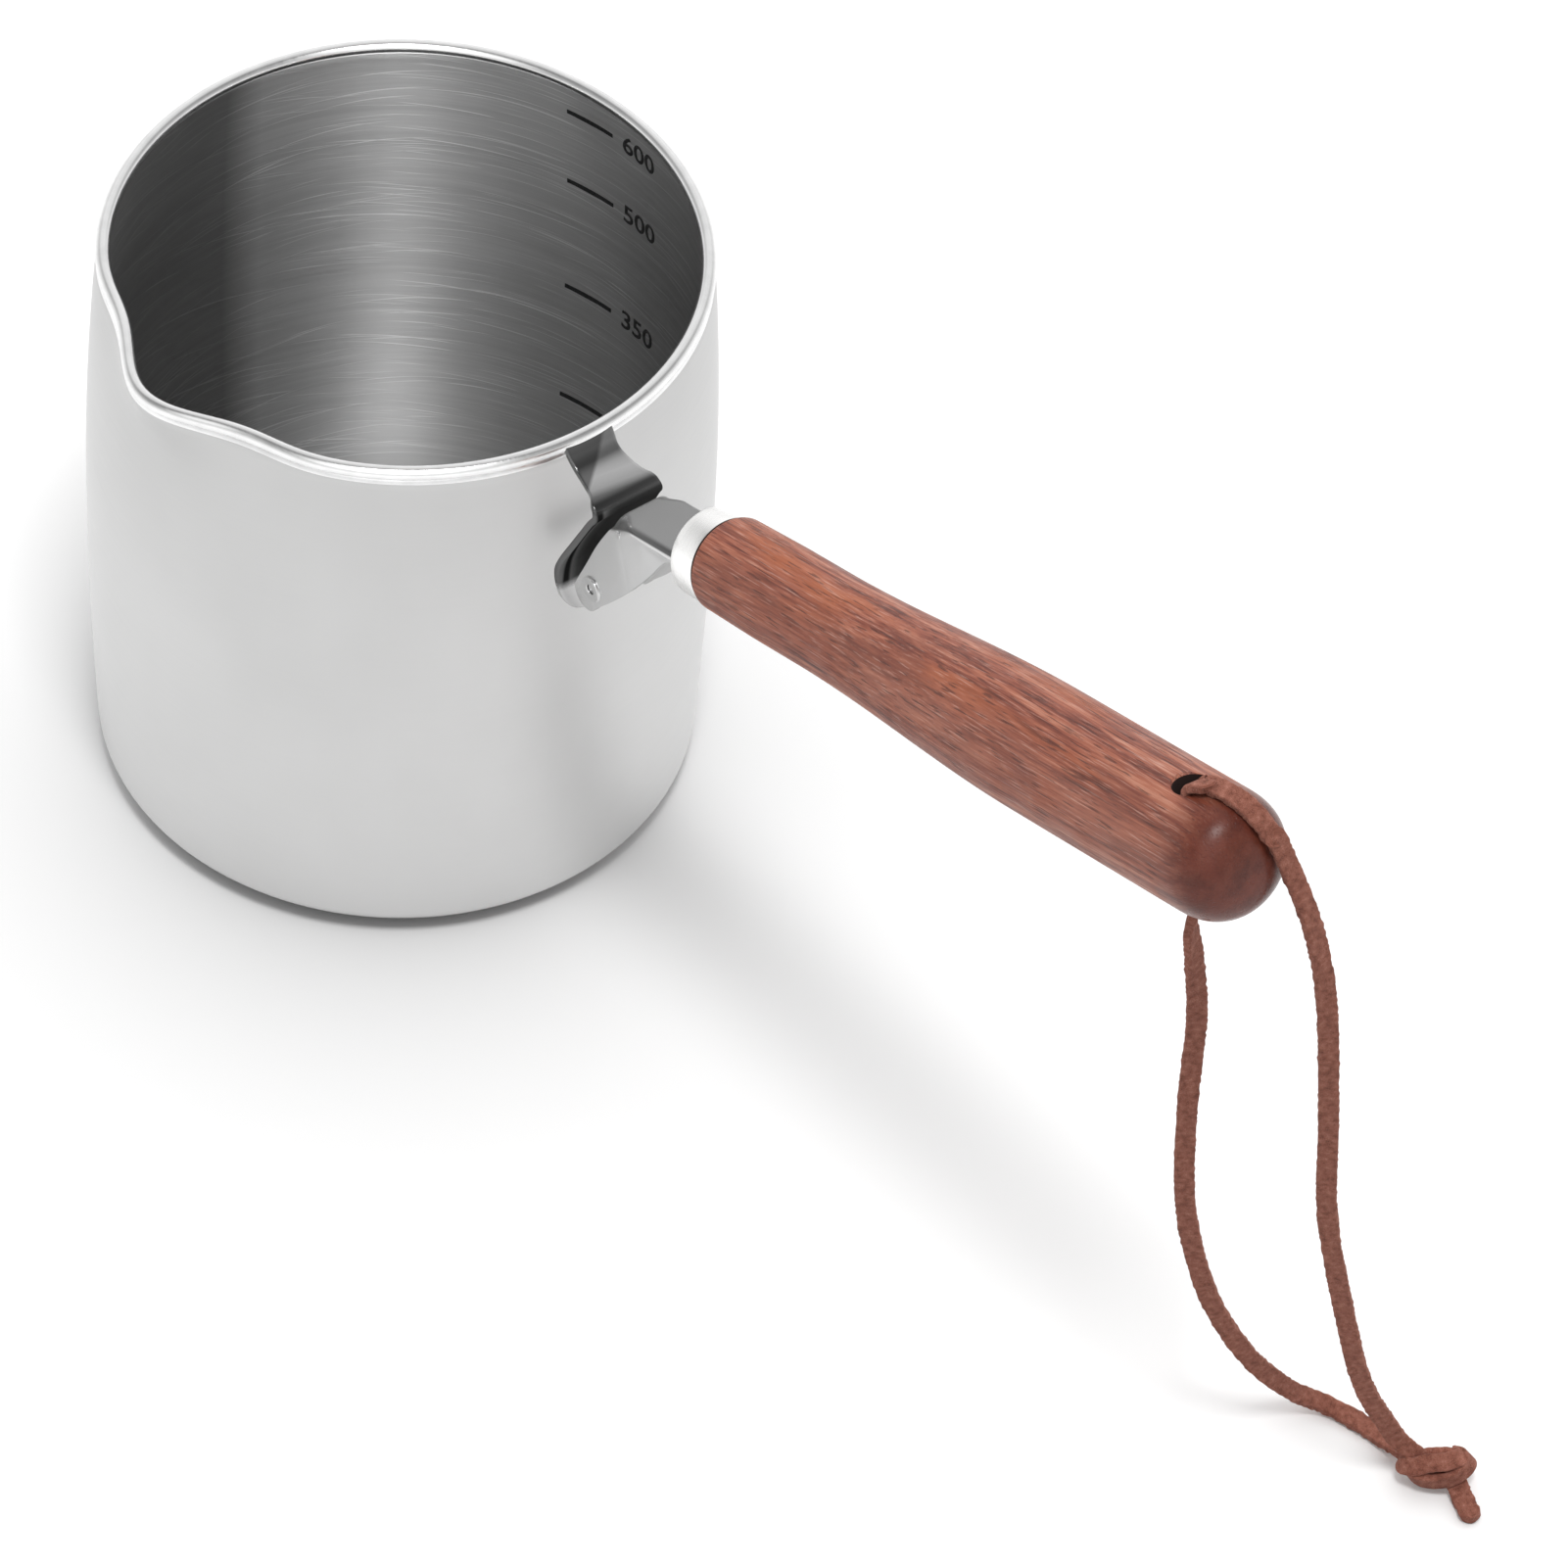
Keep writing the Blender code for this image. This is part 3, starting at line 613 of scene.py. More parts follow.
def lace_leather():
    """Rough-cut brown leather, mottled, with a suede nap."""
    finish = Finish("lace_leather")
    strap = finish.coordinates((1, 1, 1), socket="UV")
    mottle = finish.noise(strap, 0.9, 4.0, 0.6)
    nap = finish.noise(strap, 7.0, 5.0, 0.75)
    speck = finish.noise(strap, 12.0, 2.0, 0.6)
    blend = finish.add(finish.times(mottle, 0.45), finish.times(nap, 0.55))
    colour = finish.ramp(
        blend,
        [
            (0.36, (0.092, 0.030, 0.021)),
            (0.46, (0.240, 0.082, 0.054)),
            (0.55, (0.355, 0.135, 0.094)),
            (0.66, (0.510, 0.240, 0.180)),
        ],
    )
    colour = finish.mix(finish.remap(speck, 0.66, 0.72, 0.0, 0.85), colour, (0.60, 0.42, 0.35))
    colour = finish.mix(finish.remap(speck, 0.34, 0.28, 0.0, 0.7), colour, (0.035, 0.012, 0.009))
    return finish.set(
        Base_Color=colour,
        Roughness=0.92,
        Specular_IOR_Level=0.25,
        Sheen_Weight=0.12,
        Sheen_Roughness=0.5,
        Sheen_Tint=(0.75, 0.55, 0.48),
        Normal=finish.bump(nap, 0.8, 0.00025),
    )


def turned_metal(name, colour, rough, pitch):
    """Metal with fine turning marks square to its axis, which is the piece's X."""
    finish = Finish(name)
    lines = finish.grain((pitch, 40, 40), 3.0, 0.6)
    return finish.set(
        Base_Color=finish.mix(lines, [c * 0.94 for c in colour], colour),
        Metallic=1.0,
        Roughness=finish.remap(lines, 0.3, 0.7, rough - 0.05, rough + 0.05),
        Normal=finish.bump(lines, 0.04, 0.00003),
    )


# ---- pot


def wall_radius(height):
    if height < BULGE_HEIGHT:
        return BULGE_RADIUS - LOWER_DROP * ((BULGE_HEIGHT - height) / BULGE_HEIGHT) ** 2
    return BULGE_RADIUS - UPPER_DROP * ((height - BULGE_HEIGHT) / (POT_HEIGHT - BULGE_HEIGHT)) ** 2


def lip_push(angle, height, radius):
    """How far the pouring lip moves the wall outwards at an angle and height."""
    if radius < RIM_RADIUS * 0.8:
        return 0.0
    away = (angle - LIP_ANGLE + pi) % (2 * pi) - pi
    shoulder = (abs(away) - 1.9 * LIP_HALF_ANGLE) / (0.9 * LIP_HALF_ANGLE)
    pinch = exp(-((away / LIP_HALF_ANGLE) ** 2)) - 0.28 * exp(-(shoulder**2))
    return LIP_REACH * pinch * exp(-(((POT_HEIGHT - height) / LIP_DEPTH) ** 2))


def make_pot(inner, outer, rim):
    top = wall_radius(CORNER_RISE)
    corner_steps = 16
    wall_steps = 64
    bead_steps = 20
    bead_height = POT_HEIGHT - BEAD_RADIUS

    def corner(inset):
        turns = [i / corner_steps * pi / 2 for i in range(corner_steps + 1)]
        return [
            (
                top - CORNER_REACH + (CORNER_REACH - inset) * sin(t),
                CORNER_RISE - (CORNER_RISE - inset) * cos(t),
            )
            for t in turns
        ]

    rise = bead_height - CORNER_RISE
    heights = [CORNER_RISE + rise * i / wall_steps for i in range(1, wall_steps)]
    floor = [i * 3.4 * MM for i in range(10)]
    inside = [(r, WALL) for r in floor] + corner(WALL) + [(wall_radius(h) - WALL, h) for h in heights]
    bead = arc((RIM_RADIUS - BEAD_RADIUS, bead_height), BEAD_RADIUS, 215, -55, bead_steps)
    outside = [(wall_radius(h), h) for h in reversed(heights)] + corner(0.0)[::-1]
    outside += [(r, 0.0) for r in reversed(floor)]
    profile = inside + bead + outside
    first = len(inside)
    last = first + len(bead) - 1

    def zone(k):
        if k < first - 1:
            return 0
        return 2 if k <= last else 1

    pot = lathe("pot_shell", profile, 288, [inner, outer, rim], zone=zone, push=lip_push, sharp=60)
    settle(pot, "pot", "pot_body")


# Volume marks: depth below the rim and label, then angles round the pot
MARKS = ((7.6 * MM, "600"), (22.5 * MM, "500"), (45.0 * MM, "350"), (68.1 * MM, "200"))
MARK_START = radians(112)
MARK_STOP = radians(101)
MARK_HALF_HEIGHT = 0.42 * MM
LABEL_START = radians(98.5)
LABEL_SIZE = 5.0 * MM
LABEL_DROP = 1.5 * MM


def on_inner_wall(angle, height, lift):
    radius = wall_radius(height) - WALL - lift
    return Vector((radius * cos(angle), radius * sin(angle), height))


def make_marks(ink):
    """Volume lines with their numbers, lying on the inside of the wall."""
    verts = []
    faces = []
    under = -0.02 * MM
    over = 0.035 * MM

    def plate(outline):
        base = len(verts)
        count = len(outline)
        for lift in (under, over):
            verts.extend(on_inner_wall(a, h, lift) for a, h in outline)
        faces.append(tuple(range(base, base + count)))
        faces.append(tuple(range(base + count, base + 2 * count)))
        for i in range(count):
            j = (i + 1) % count
            faces.append((base + i, base + j, base + count + j, base + count + i))

    steps = 14
    angles = [MARK_START + (MARK_STOP - MARK_START) * i / steps for i in range(steps + 1)]
    for depth, label in MARKS:
        height = POT_HEIGHT - depth
        upper = [(a, height + MARK_HALF_HEIGHT) for a in angles]
        lower = [(a, height - MARK_HALF_HEIGHT) for a in reversed(angles)]
        plate(upper + lower)
        font = bpy.data.curves.new("label_" + label, "FONT")
        font.body = label
        font.size = LABEL_SIZE
        font.offset = 0.07 * MM
        font.resolution_u = 4
        font.extrude = 0.5 * MM
        text = add_object("label_" + label, font)
        bpy.context.view_layer.update()
        graph = bpy.context.evaluated_depsgraph_get()
        shape = bpy.data.meshes.new_from_object(text.evaluated_get(graph))
        base = len(verts)
        for vertex in shape.vertices:
            angle = LABEL_START - vertex.co.x / wall_radius(height)
            lift = over if vertex.co.z > 0 else under
            verts.append(on_inner_wall(angle, height - LABEL_DROP + vertex.co.y, lift))
        faces.extend(tuple(base + v for v in polygon.vertices) for polygon in shape.polygons)
        bpy.data.objects.remove(text)
    marks = add_mesh("volume_marks", verts, faces, [ink])
    cage = bmesh.new()
    cage.from_mesh(marks.data)
    bmesh.ops.remove_doubles(cage, verts=cage.verts, dist=1e-7)
    bmesh.ops.recalc_face_normals(cage, faces=cage.faces)
    cage.to_mesh(marks.data)
    cage.free()
    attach(marks, "pot")


# ---- hinge


def make_bracket(steel):
    """Stamped strip from under the rim out to the stop bend and back down to the wall."""
    hug = (wall_radius(74 * MM) + GAP + SHEET / 2) / MM
    rows = [
        (44.3, 97.7, 4.15, 0.0),
        (45.2, 96.6, 4.1, 0.0),
        (46.3, 95.5, 4.0, 0.0),
        (47.8, 94.8, 4.05, 0.0),
        (49.8, 94.4, 4.3, 0.0),
        (51.6, 94.2, 4.7, 0.0),
        (53.0, 94.0, 5.5, 0.0),
        (54.0, 93.4, 5.8, 0.0),
        (54.2, 92.4, 6.0, 0.1),
        (52.8, 90.4, 6.2, 0.5),
        (49.9, 84.8, 6.5, 0.9),
        (47.9, 79.8, 6.8, 0.5),
        (hug + 0.1, 76.5, 6.8, 0.0),
        (hug - 0.1, 73.0, 6.3, -0.2),
        (hug - 0.1, 70.0, 5.5, -0.25),
        (hug - 0.1, 67.6, 4.2, -0.2),
        (hug - 0.1, 66.3, 2.8, -0.1),
        (hug - 0.1, 65.8, 1.4, 0.0),
    ]
    run = through([Vector(row) for row in rows], 6)
    across = [i / 12 for i in range(-12, 13)]
    edge = 0.22
    inset = 0.3 * edge
    thick = SHEET / MM
    verts = []
    rings = []
    for i, row in enumerate(run):
        before = run[max(0, i - 1)]
        after = run[min(len(run) - 1, i + 1)]
        tangent = Vector((after[0] - before[0], after[1] - before[1])).normalized()
        normal = Vector((-tangent[1], tangent[0]))
        half = row[2]
        loop = [(a * (half - edge), thick / 2) for a in across]
        loop += [(half - inset, thick / 2 - inset), (half, thick / 2 - edge)]
        loop += [(half, -thick / 2 + edge), (half - inset, -thick / 2 + inset)]
        loop += [(-y, -off) for y, off in loop]
        ring = []
        for y, off in loop:
            lift = row[3] * max(0.0, abs(y) / half - 0.55) ** 2 / 0.2
            ring.append(len(verts))
            verts.append(Vector((row[0] + normal[0] * off + lift, y, row[1] + normal[1] * off)) * MM)
        rings.append(ring)
    faces = side_faces(rings) + [tuple(rings[0]), tuple(rings[-1])]
    strip = add_mesh("bracket_strip", verts, faces, [steel], sharp=50)
    strip.visible_glossy = False
    settle(strip, "pot", "hinge_bracket")


def tang_bend(along):
    """Outside radius of the bend between the tang's top and its sides, wider at the front corners."""
    flare = min(1.0, max(0.0, (-12.0 * MM - along) / (4.2 * MM)))
    return TANG_BEND + TANG_FLARE * flare * flare * (3 - 2 * flare)


def folded(along, spread):
    """Where a point of the tang's flat blank ends up once its sides are bent down."""
    side = 1.0 if spread >= 0 else -1.0
    bend = tang_bend(along)
    flat = TANG_HALF_WIDTH - bend
    curve = bend * pi / 2
    away = abs(spread)
    if away <= flat:
        return Vector((along, spread, TANG_TOP))
    if away <= flat + curve:
        turn = (away - flat) / bend
        return Vector((along, side * (flat + bend * sin(turn)), TANG_TOP - bend + bend * cos(turn)))
    return Vector((along, side * TANG_HALF_WIDTH, TANG_TOP - bend - (away - flat - curve)))


def blank_spread(along, above):
    """How far out on the blank a point of the side plate lies."""
    bend = tang_bend(along)
    return TANG_HALF_WIDTH - bend + bend * pi / 2 + TANG_TOP - bend - above


def make_tang(steel, edge_finish):
    """Channel bent from a blank whose two leaf-shaped sides reach down to the rivet."""
    rivet = (HANDLE.inverted() @ RIVET).xz / MM
    front = [(-16.6, -0.2), (-19.0, -2.5), (-22.2, -5.8), (-25.6, -9.8), (-28.2, -12.8)]
    lobe = arc((rivet[0] - 2.1, rivet[1] - 1.9), 2.55, 150, 318, 14)
    under = [(-24.0, -16.6), (-20.7, -14.5), (-17.2, -12.0), (-13.6, -9.3)]
    under += [(-8.6, -5.2), (-3.8, -1.0), (0.0, -0.3)]
    front = [tuple(p) for p in through([Vector(p) for p in front], 4)]
    under = [tuple(p) for p in through([Vector(p) for p in [lobe[-1], *under]], 4)][1:]
    side = [(s * MM, h * MM) for s, h in front + lobe + under]
    half = [(TANG_FRONT, 0.0), (TANG_FRONT, 2.6 * MM)]
    half += [(s, blank_spread(s, h)) for s, h in side]
    half += [(TANG_TAIL, blank_spread(TANG_TAIL, 0.0)), (TANG_TAIL, 0.0)]
    outline = half[1:-1]
    outline = outline + [(s, -w) for s, w in reversed(outline)]
    cage = bmesh.new()
    cage.faces.new([cage.verts.new((s, w, 0.0)) for s, w in outline])

    def cut(place, normal):
        everything = cage.verts[:] + cage.edges[:] + cage.faces[:]
        bmesh.ops.bisect_plane(cage, geom=everything, plane_co=place, plane_no=normal, dist=1e-7)

    for step in range(15):
        cut((TANG_FRONT + step * 0.4 * MM, 0, 0), (1, 0, 0))
    for step in range(26):
        spread = (2.0 + 0.18 * step) * MM
        cut((0, spread, 0), (0, 1, 0))
        cut((0, -spread, 0), (0, 1, 0))
    for vertex in cage.verts:
        vertex.co = folded(vertex.co.x, vertex.co.y)
    bmesh.ops.recalc_face_normals(cage, faces=cage.faces)
    mesh = bpy.data.meshes.new("tang_sheet")
    cage.to_mesh(mesh)
    cage.free()
    mesh.materials.append(steel)
    mesh.materials.append(edge_finish)
    tang = add_object("tang_sheet", mesh)
    tang.matrix_world = HANDLE
    top = max(mesh.polygons, key=lambda p: p.area if abs(p.normal.z) > 0.9 else 0.0)
    thick = tang.modifiers.new("sheet", "SOLIDIFY")
    thick.thickness = SHEET
    thick.offset = -1.0 if top.normal.z > 0 else 1.0
    thick.use_even_offset = True
    freeze(tang)
    face_outwards(tang)
    soften(tang, 0.17 * MM, 2, 50)
    tang.visible_glossy = False
    settle(tang, "handle", "tang_channel")


def make_rivet(steel):
    """Tubular rivet with a rolled head outside each side plate."""
    plate = TANG_HALF_WIDTH
    bore = 0.75 * MM
    head = 2.05 * MM
    roll = 0.16 * MM
    top = plate + 0.35 * MM
    shank = 1.4 * MM
    half = [(shank, 0.0), (shank, plate), (head, plate)]
    half += arc((head - roll, top - roll), roll, 0, 90, 5)
    half += arc((bore + roll, top - roll), roll, 90, 180, 5)
    half += [(bore, 0.0)]
    mirrored = [(r, -h) for r, h in reversed(half[1:-1])]
    turn = Matrix.Translation(RIVET) @ Matrix.Rotation(pi / 2, 4, "X")
    rivet = lathe("rivet_tube", half + mirrored, 64, [steel], turn, closed=True)
    settle(rivet, "pot", "hinge_rivet")


def make_stop_pin(steel):
    radius = 0.65 * MM
    half = TANG_HALF_WIDTH + 0.12 * MM
    edge = 0.12 * MM
    profile = [(0.0, -half), (radius - edge, -half), (radius, -half + edge)]
    profile += [(radius, half - edge), (radius - edge, half), (0.0, half)]
    place = HANDLE @ Matrix.Translation((-15.6 * MM, 0, -1.2 * MM)) @ Matrix.Rotation(pi / 2, 4, "X")
    pin = lathe("stop_pin_rod", profile, 32, [steel], place)
    settle(pin, "handle", "stop_pin")


def make_ferrule(steel, shadow_finish):
    inner = FERRULE_RADIUS - FERRULE_WALL
    edge = 0.35 * MM
    length = FERRULE_END
    profile = [(inner, 0.0)]
    profile += arc((FERRULE_RADIUS - edge, edge), edge, -90, 0, 5)
    profile += [(FERRULE_RADIUS + 0.04 * MM, length * f) for f in (0.3, 0.5, 0.7)]
    profile += arc((FERRULE_RADIUS - edge, length - edge), edge, 0, 90, 5)
    profile += [(inner, length)]
    # Painted shade: the far rounded edge, at the joint with the grip, gets the dark finish
    far_edge = len(profile) - 6

    def zone(k):
        return int(k >= far_edge)

    ferrule = lathe("ferrule_ring", profile, 128, [steel, shadow_finish], zone=zone, closed=True)
    ferrule.data.transform(Matrix.Rotation(pi / 2, 4, "Y"))
    ferrule.matrix_world = HANDLE
    settle(ferrule, "handle", "ferrule")


# ---- grip


def grip_radius(along):
    start = min(1.0, (along - FERRULE_END) / (12 * MM))
    neck = GRIP_NECK_RADIUS + (GRIP_WAIST_RADIUS - GRIP_NECK_RADIUS) * start
    swell = min(1.0, max(0.0, (along - 28 * MM) / (50 * MM)))
    return neck + (GRIP_BELLY_RADIUS - GRIP_WAIST_RADIUS) * swell * swell * (3 - 2 * swell)


def grip_end(turn, lift=0.0):
    """A (radius, distance along) point of the grip's rounded end, squarer than a ball."""
    power = 2.6
    out = cos(turn) ** (2 / power)
    on = sin(turn) ** (2 / power)
    return (
        GRIP_BELLY_RADIUS * out + lift * cos(turn),
        GRIP_END - GRIP_DOME + GRIP_DOME * on + lift * sin(turn),
    )


def make_grip(wood, hole_painted_shade):
    start = FERRULE_END + GAP
    body_end = GRIP_END - GRIP_DOME
    stations = 110
    edge = 0.25 * MM
    turns = (0.0, pi / 8, pi / 4, 3 * pi / 8)
    outside = [(grip_radius(start) - edge + edge * sin(t), start + edge - edge * cos(t)) for t in turns]
    places = [start + edge + (body_end - start - edge) * i / stations for i in range(stations)]
    outside += [(grip_radius(s), s) for s in places]
    cap = [grip_end(pi / 2 * (i / 28) ** 1.15) for i in range(28)]
    sleeve = INSERT_RADIUS + GAP
    bore = [(0.0, BORE_END), (BORE_RADIUS, BORE_END), (BORE_RADIUS, INSERT_END + GAP)]
    bore += [(sleeve, INSERT_END + GAP), (sleeve, INSERT_START - GAP), (BORE_RADIUS, INSERT_START - GAP)]
    tenon = [(BORE_RADIUS, TENON_FRONT), (TENON_RADIUS, TENON_FRONT), (TENON_RADIUS, start)]
    profile = bore + tenon + outside + cap + [(0.0, GRIP_END)]
    grip = lathe("grip_turned", profile, 160, [wood, hole_painted_shade])
    grip.data.transform(Matrix.Rotation(pi / 2, 4, "Y"))
    lip = 0.35 * MM
    reach = 14 * MM
    hole = [(0.0, -reach), (LACE_HOLE_RADIUS + 3.2 * lip, -reach)]
    hole += [(LACE_HOLE_RADIUS + lip * f, -GRIP_BELLY_RADIUS + 1.1 * lip * (1 - f)) for f in (1.0, 0.35, 0.0)]
    hole += [(r, -h) for r, h in reversed(hole)]
    middle = len(hole) // 2 - 1
    # The straight bore of the cross hole gets the painted shade
    cutter = lathe("lace_hole", hole, 56, [wood, hole_painted_shade], zone=lambda k: int(k == middle))
    cutter.data.transform(Matrix.Translation((LACE_HOLE, 0, 0)))
    cut = grip.modifiers.new("lace_hole", "BOOLEAN")
    cut.operation = "DIFFERENCE"
    cut.solver = "EXACT"
    cut.object = cutter
    freeze(grip)
    bpy.data.objects.remove(cutter)
    drop_slivers(grip)
    shade(grip, 40)
    grip.matrix_world = HANDLE
    settle(grip, "handle", "handle_grip")


# ---- lace


def strap_frames(path, steps):
    """Centre, face normal and side of a strap along (place, face normal) pairs."""
    places = through([p for p, _ in path], steps)
    faces = through([n for _, n in path], steps)
    frames = []
    for i, place in enumerate(places):
        ahead = (places[min(i + 1, len(places) - 1)] - places[max(i - 1, 0)]).normalized()
        normal = faces[i] - ahead * faces[i].dot(ahead)
        normal.normalize()
        frames.append((place, normal, ahead.cross(normal)))
    return frames


def section(width, thick):
    """A strap's cut section: (across, through) points of a rounded rectangle."""
    w = width / 2
    t = thick / 2
    r = 0.3 * t + 0.1 * MM
    points = []
    corners = ((w - r, t - r), (-w + r, t - r), (-w + r, -t + r), (w - r, -t + r))
    for quarter, corner in enumerate(corners):
        points += arc(corner, r, 90 * quarter, 90 * quarter + 90, 3)
    count = 6
    full = []
    for i, point in enumerate(points):
        full.append(point)
        after = points[(i + 1) % len(points)]
        if hypot(after[0] - point[0], after[1] - point[1]) > width * 0.3:
            for k in range(1, count):
                f = k / count
                full.append((point[0] + (after[0] - point[0]) * f, point[1] + (after[1] - point[1]) * f))
    return full


def strap(name, frames, leather, seed, width=LACE_WIDTH, thick=LACE_THICK, start_length=0.0, round_end=False):
    """A flat leather strap with uneven cut edges, swept along its frames."""
    loop = section(width, thick)
    verts = []
    rings = []
    lengths = []
    length = start_length
    for i, (place, normal, side) in enumerate(frames):
        if i:
            length += (place - frames[i - 1][0]).length
        lengths.append(length)
        slow = noise.noise(Vector((length * 160, seed, 0.0)))
        ring = []
        shrink = 1.0
        if round_end:
            left = (frames[-1][0] - place).length / (width * 0.45)
            shrink = min(1.0, max(0.05, (1 - max(0.0, 1 - left) ** 2)) ** 0.5)
        for x, y in loop:
            edge = abs(x) / (width / 2)
            rough = noise.noise(Vector((length * 1500, x * 700 + seed * 7, y * 900)))
            out = (1 + 0.07 * slow + 0.13 * rough * edge * edge) * shrink
            deep = 1 + 0.09 * rough
            ring.append(len(verts))
            verts.append(place + side * (x * out) + normal * (y * deep))
        rings.append(ring)
    faces = side_faces(rings) + [tuple(reversed(rings[0])), tuple(rings[-1])]
    obj = add_mesh(name, verts, faces, [leather], sharp=60)
    mesh = obj.data
    uv = mesh.uv_layers.new(name="strap")
    count = len(loop)
    around = [0.0]
    for i in range(1, count):
        around.append(around[-1] + hypot(loop[i][0] - loop[i - 1][0], loop[i][1] - loop[i - 1][1]))
    for polygon in mesh.polygons:
        for corner in polygon.loop_indices:
            vertex = mesh.loops[corner].vertex_index
            ring, spot = divmod(vertex, count)
            wrapped = around[spot]
            if spot == 0 and count - 1 in (mesh.loops[c].vertex_index % count for c in polygon.loop_indices):
                wrapped = around[-1] + 0.1 * MM
            uv.data[corner].uv = (lengths[ring] / MM + seed * 13.7, wrapped / MM)
    return obj


def from_handle(along, above, side=0.0):
    return HANDLE @ Vector((along, side, above))


def handle_direction(along, above, side=0.0):
    return (HANDLE.to_3x3() @ Vector((along, side, above))).normalized()


def over_grip():
    """Out of the cross hole, along the top of the grip and over its rounded end."""
    top = GRIP_BELLY_RADIUS + STRAP_LIFT
    path = [
        (from_handle(LACE_HOLE, -GRIP_BELLY_RADIUS - 1.0 * MM), handle_direction(1, 0, 0.3)),
        (from_handle(LACE_HOLE + 0.6 * MM, -3 * MM, -0.3 * MM), handle_direction(1, 0, 0.2)),
        (from_handle(LACE_HOLE + 0.9 * MM, 5.5 * MM, -0.8 * MM), handle_direction(-1, 0.2, 0.3)),
        (from_handle(LACE_HOLE + 1.5 * MM, top - 0.9 * MM, -0.9 * MM), handle_direction(-0.8, 0.8, 0.2)),
        (from_handle(LACE_HOLE + 3.6 * MM, top + 0.4 * MM, -0.3 * MM), handle_direction(-0.15, 1, -0.15)),
    ]
    for step, turn in enumerate((3, 18, 36, 55, 70)):
        above, along = grip_end(radians(turn), STRAP_LIFT)
        normal = handle_direction(sin(radians(turn)) + 0.05, cos(radians(turn)), -0.18)
        path.append((from_handle(along, above, (0.5 + 0.7 * step) * MM), normal))
    return path


def hanging(start, facing, rows):
    """A strap's path from its start through (x, y, z) places in millimetres with their face normals."""
    return [(start, Vector(facing))] + [(Vector(place) * MM, Vector(normal)) for place, normal in rows]


def down_front():
    """From the end of the grip down to the knot."""
    above, along = grip_end(radians(77), STRAP_LIFT)
    rows = [
        ((194.3, 7.2, 128.0), (0.85, 0.0, 0.35)),
        ((196.2, 9.9, 112.0), (0.85, -0.45, 0.2)),
        ((197.0, 12.4, 88.0), (0.75, -0.65, 0.1)),
        ((197.2, 14.7, 66.0), (0.7, -0.7, 0.1)),
        ((198.2, 19.8, 42.1), (0.65, -0.7, 0.3)),
        ((199.1, 24.5, 24.0), (0.55, -0.6, 0.5)),
        ((200.5, 30.2, 10.6), (0.5, -0.5, 0.65)),
        ((201.3, 31.9, 7.2), (0.5, -0.45, 0.75)),
        ((203.4, 33.9, 4.4), (0.5, -0.42, 0.78)),
    ]
    return hanging(from_handle(along, above - 0.6 * MM, 4.1 * MM), (0.75, -0.15, 0.65), rows)


def down_rear():
    """From the underside of the cross hole down to the ground and along it to the knot."""
    rows = [
        ((179.6, -0.8, 121.0), (0.6, 0.5, 0.2)),
        ((179.1, 1.0, 112.0), (0.85, 0.1, 0.0)),
        ((179.0, 3.0, 98.0), (0.85, -0.35, 0.0)),
        ((178.9, 3.5, 78.0), (0.75, -0.6, 0.1)),
        ((179.1, 5.4, 56.0), (0.7, -0.65, 0.2)),
        ((180.4, 10.5, 34.8), (0.6, -0.6, 0.4)),
        ((182.2, 18.0, 17.5), (0.5, -0.5, 0.6)),
        ((183.8, 25.7, 5.8), (0.3, -0.4, 0.8)),
        ((186.4, 30.5, 1.6), (0.15, -0.25, 0.95)),
        ((191.9, 32.9, 1.1), (0.1, -0.2, 1.0)),
        ((197.2, 33.9, 1.5), (0.1, -0.2, 1.0)),
        ((200.7, 34.3, 2.4), (0.1, -0.2, 1.0)),
    ]
    return hanging(from_handle(LACE_HOLE, -GRIP_BELLY_RADIUS + 1.5 * MM), (0.3, 0.8, 0.3), rows)


KNOT_CENTRE = Vector((205.4, 35.8, 3.4)) * MM


def in_knot(right, up, near):
    """A point of the knot: right and up as seen from the front, and how near."""
    return KNOT_CENTRE + (CAMERA_RIGHT * right + CAMERA_UP * up + CAMERA_BACK * near) * MM


def knot_turn(points):
    """A strap's path round the knot, its flat face turned away from the knot's middle."""
    path = []
    for right, up, near in points:
        out = CAMERA_UP * up * 0.9 + CAMERA_BACK * near + CAMERA_RIGHT * right * 0.25
        path.append((in_knot(right, up, near), out.normalized()))
    return path


# (right, up, near) places of the knot's turns and of its free end, in millimetres
KNOT_TURNS = {
    "upper_turn": [
        (-3.4, 1.6, -1.2), (-4.7, 1.1, -0.4), (-5.0, 0.2, 0.6), (-3.6, -0.1, 1.7),
        (-1.2, 0.4, 2.2), (1.0, 0.6, 2.2), (2.7, 1.0, 1.6), (3.5, 1.4, 0.5),
        (3.2, 1.6, -0.8),
    ],
    "lower_turn": [
        (-4.2, -0.4, -0.6), (-3.7, -1.4, 0.3), (-2.2, -2.1, 1.0), (0.0, -2.2, 1.4),
        (2.0, -1.7, 1.5), (3.7, -0.6, 1.1), (4.4, 0.7, 0.5), (3.8, 1.5, -0.4),
        (2.4, 1.6, -1.0),
    ],
    "back_turn": [
        (-4.2, -0.4, -1.0), (-2.6, 1.0, -1.0), (-0.4, 1.5, -0.7), (1.8, 1.5, -0.8),
        (3.4, 0.7, -1.1), (3.9, -0.6, -0.8), (3.2, -1.5, -0.1),
    ],
    "core": [
        (-4.0, 0.2, -0.3), (-2.0, -0.4, 0.1), (0.0, -0.4, 0.2), (2.0, 0.1, 0.2),
        (3.4, 0.4, -0.1),
    ],
}


KNOT_TAIL = [(2.0, -0.6, -0.3), (2.7, -2.4, -0.2), (3.3, -4.2, 0.4), (4.1, -6.0, 1.8), (4.8, -7.6, 3.2)]


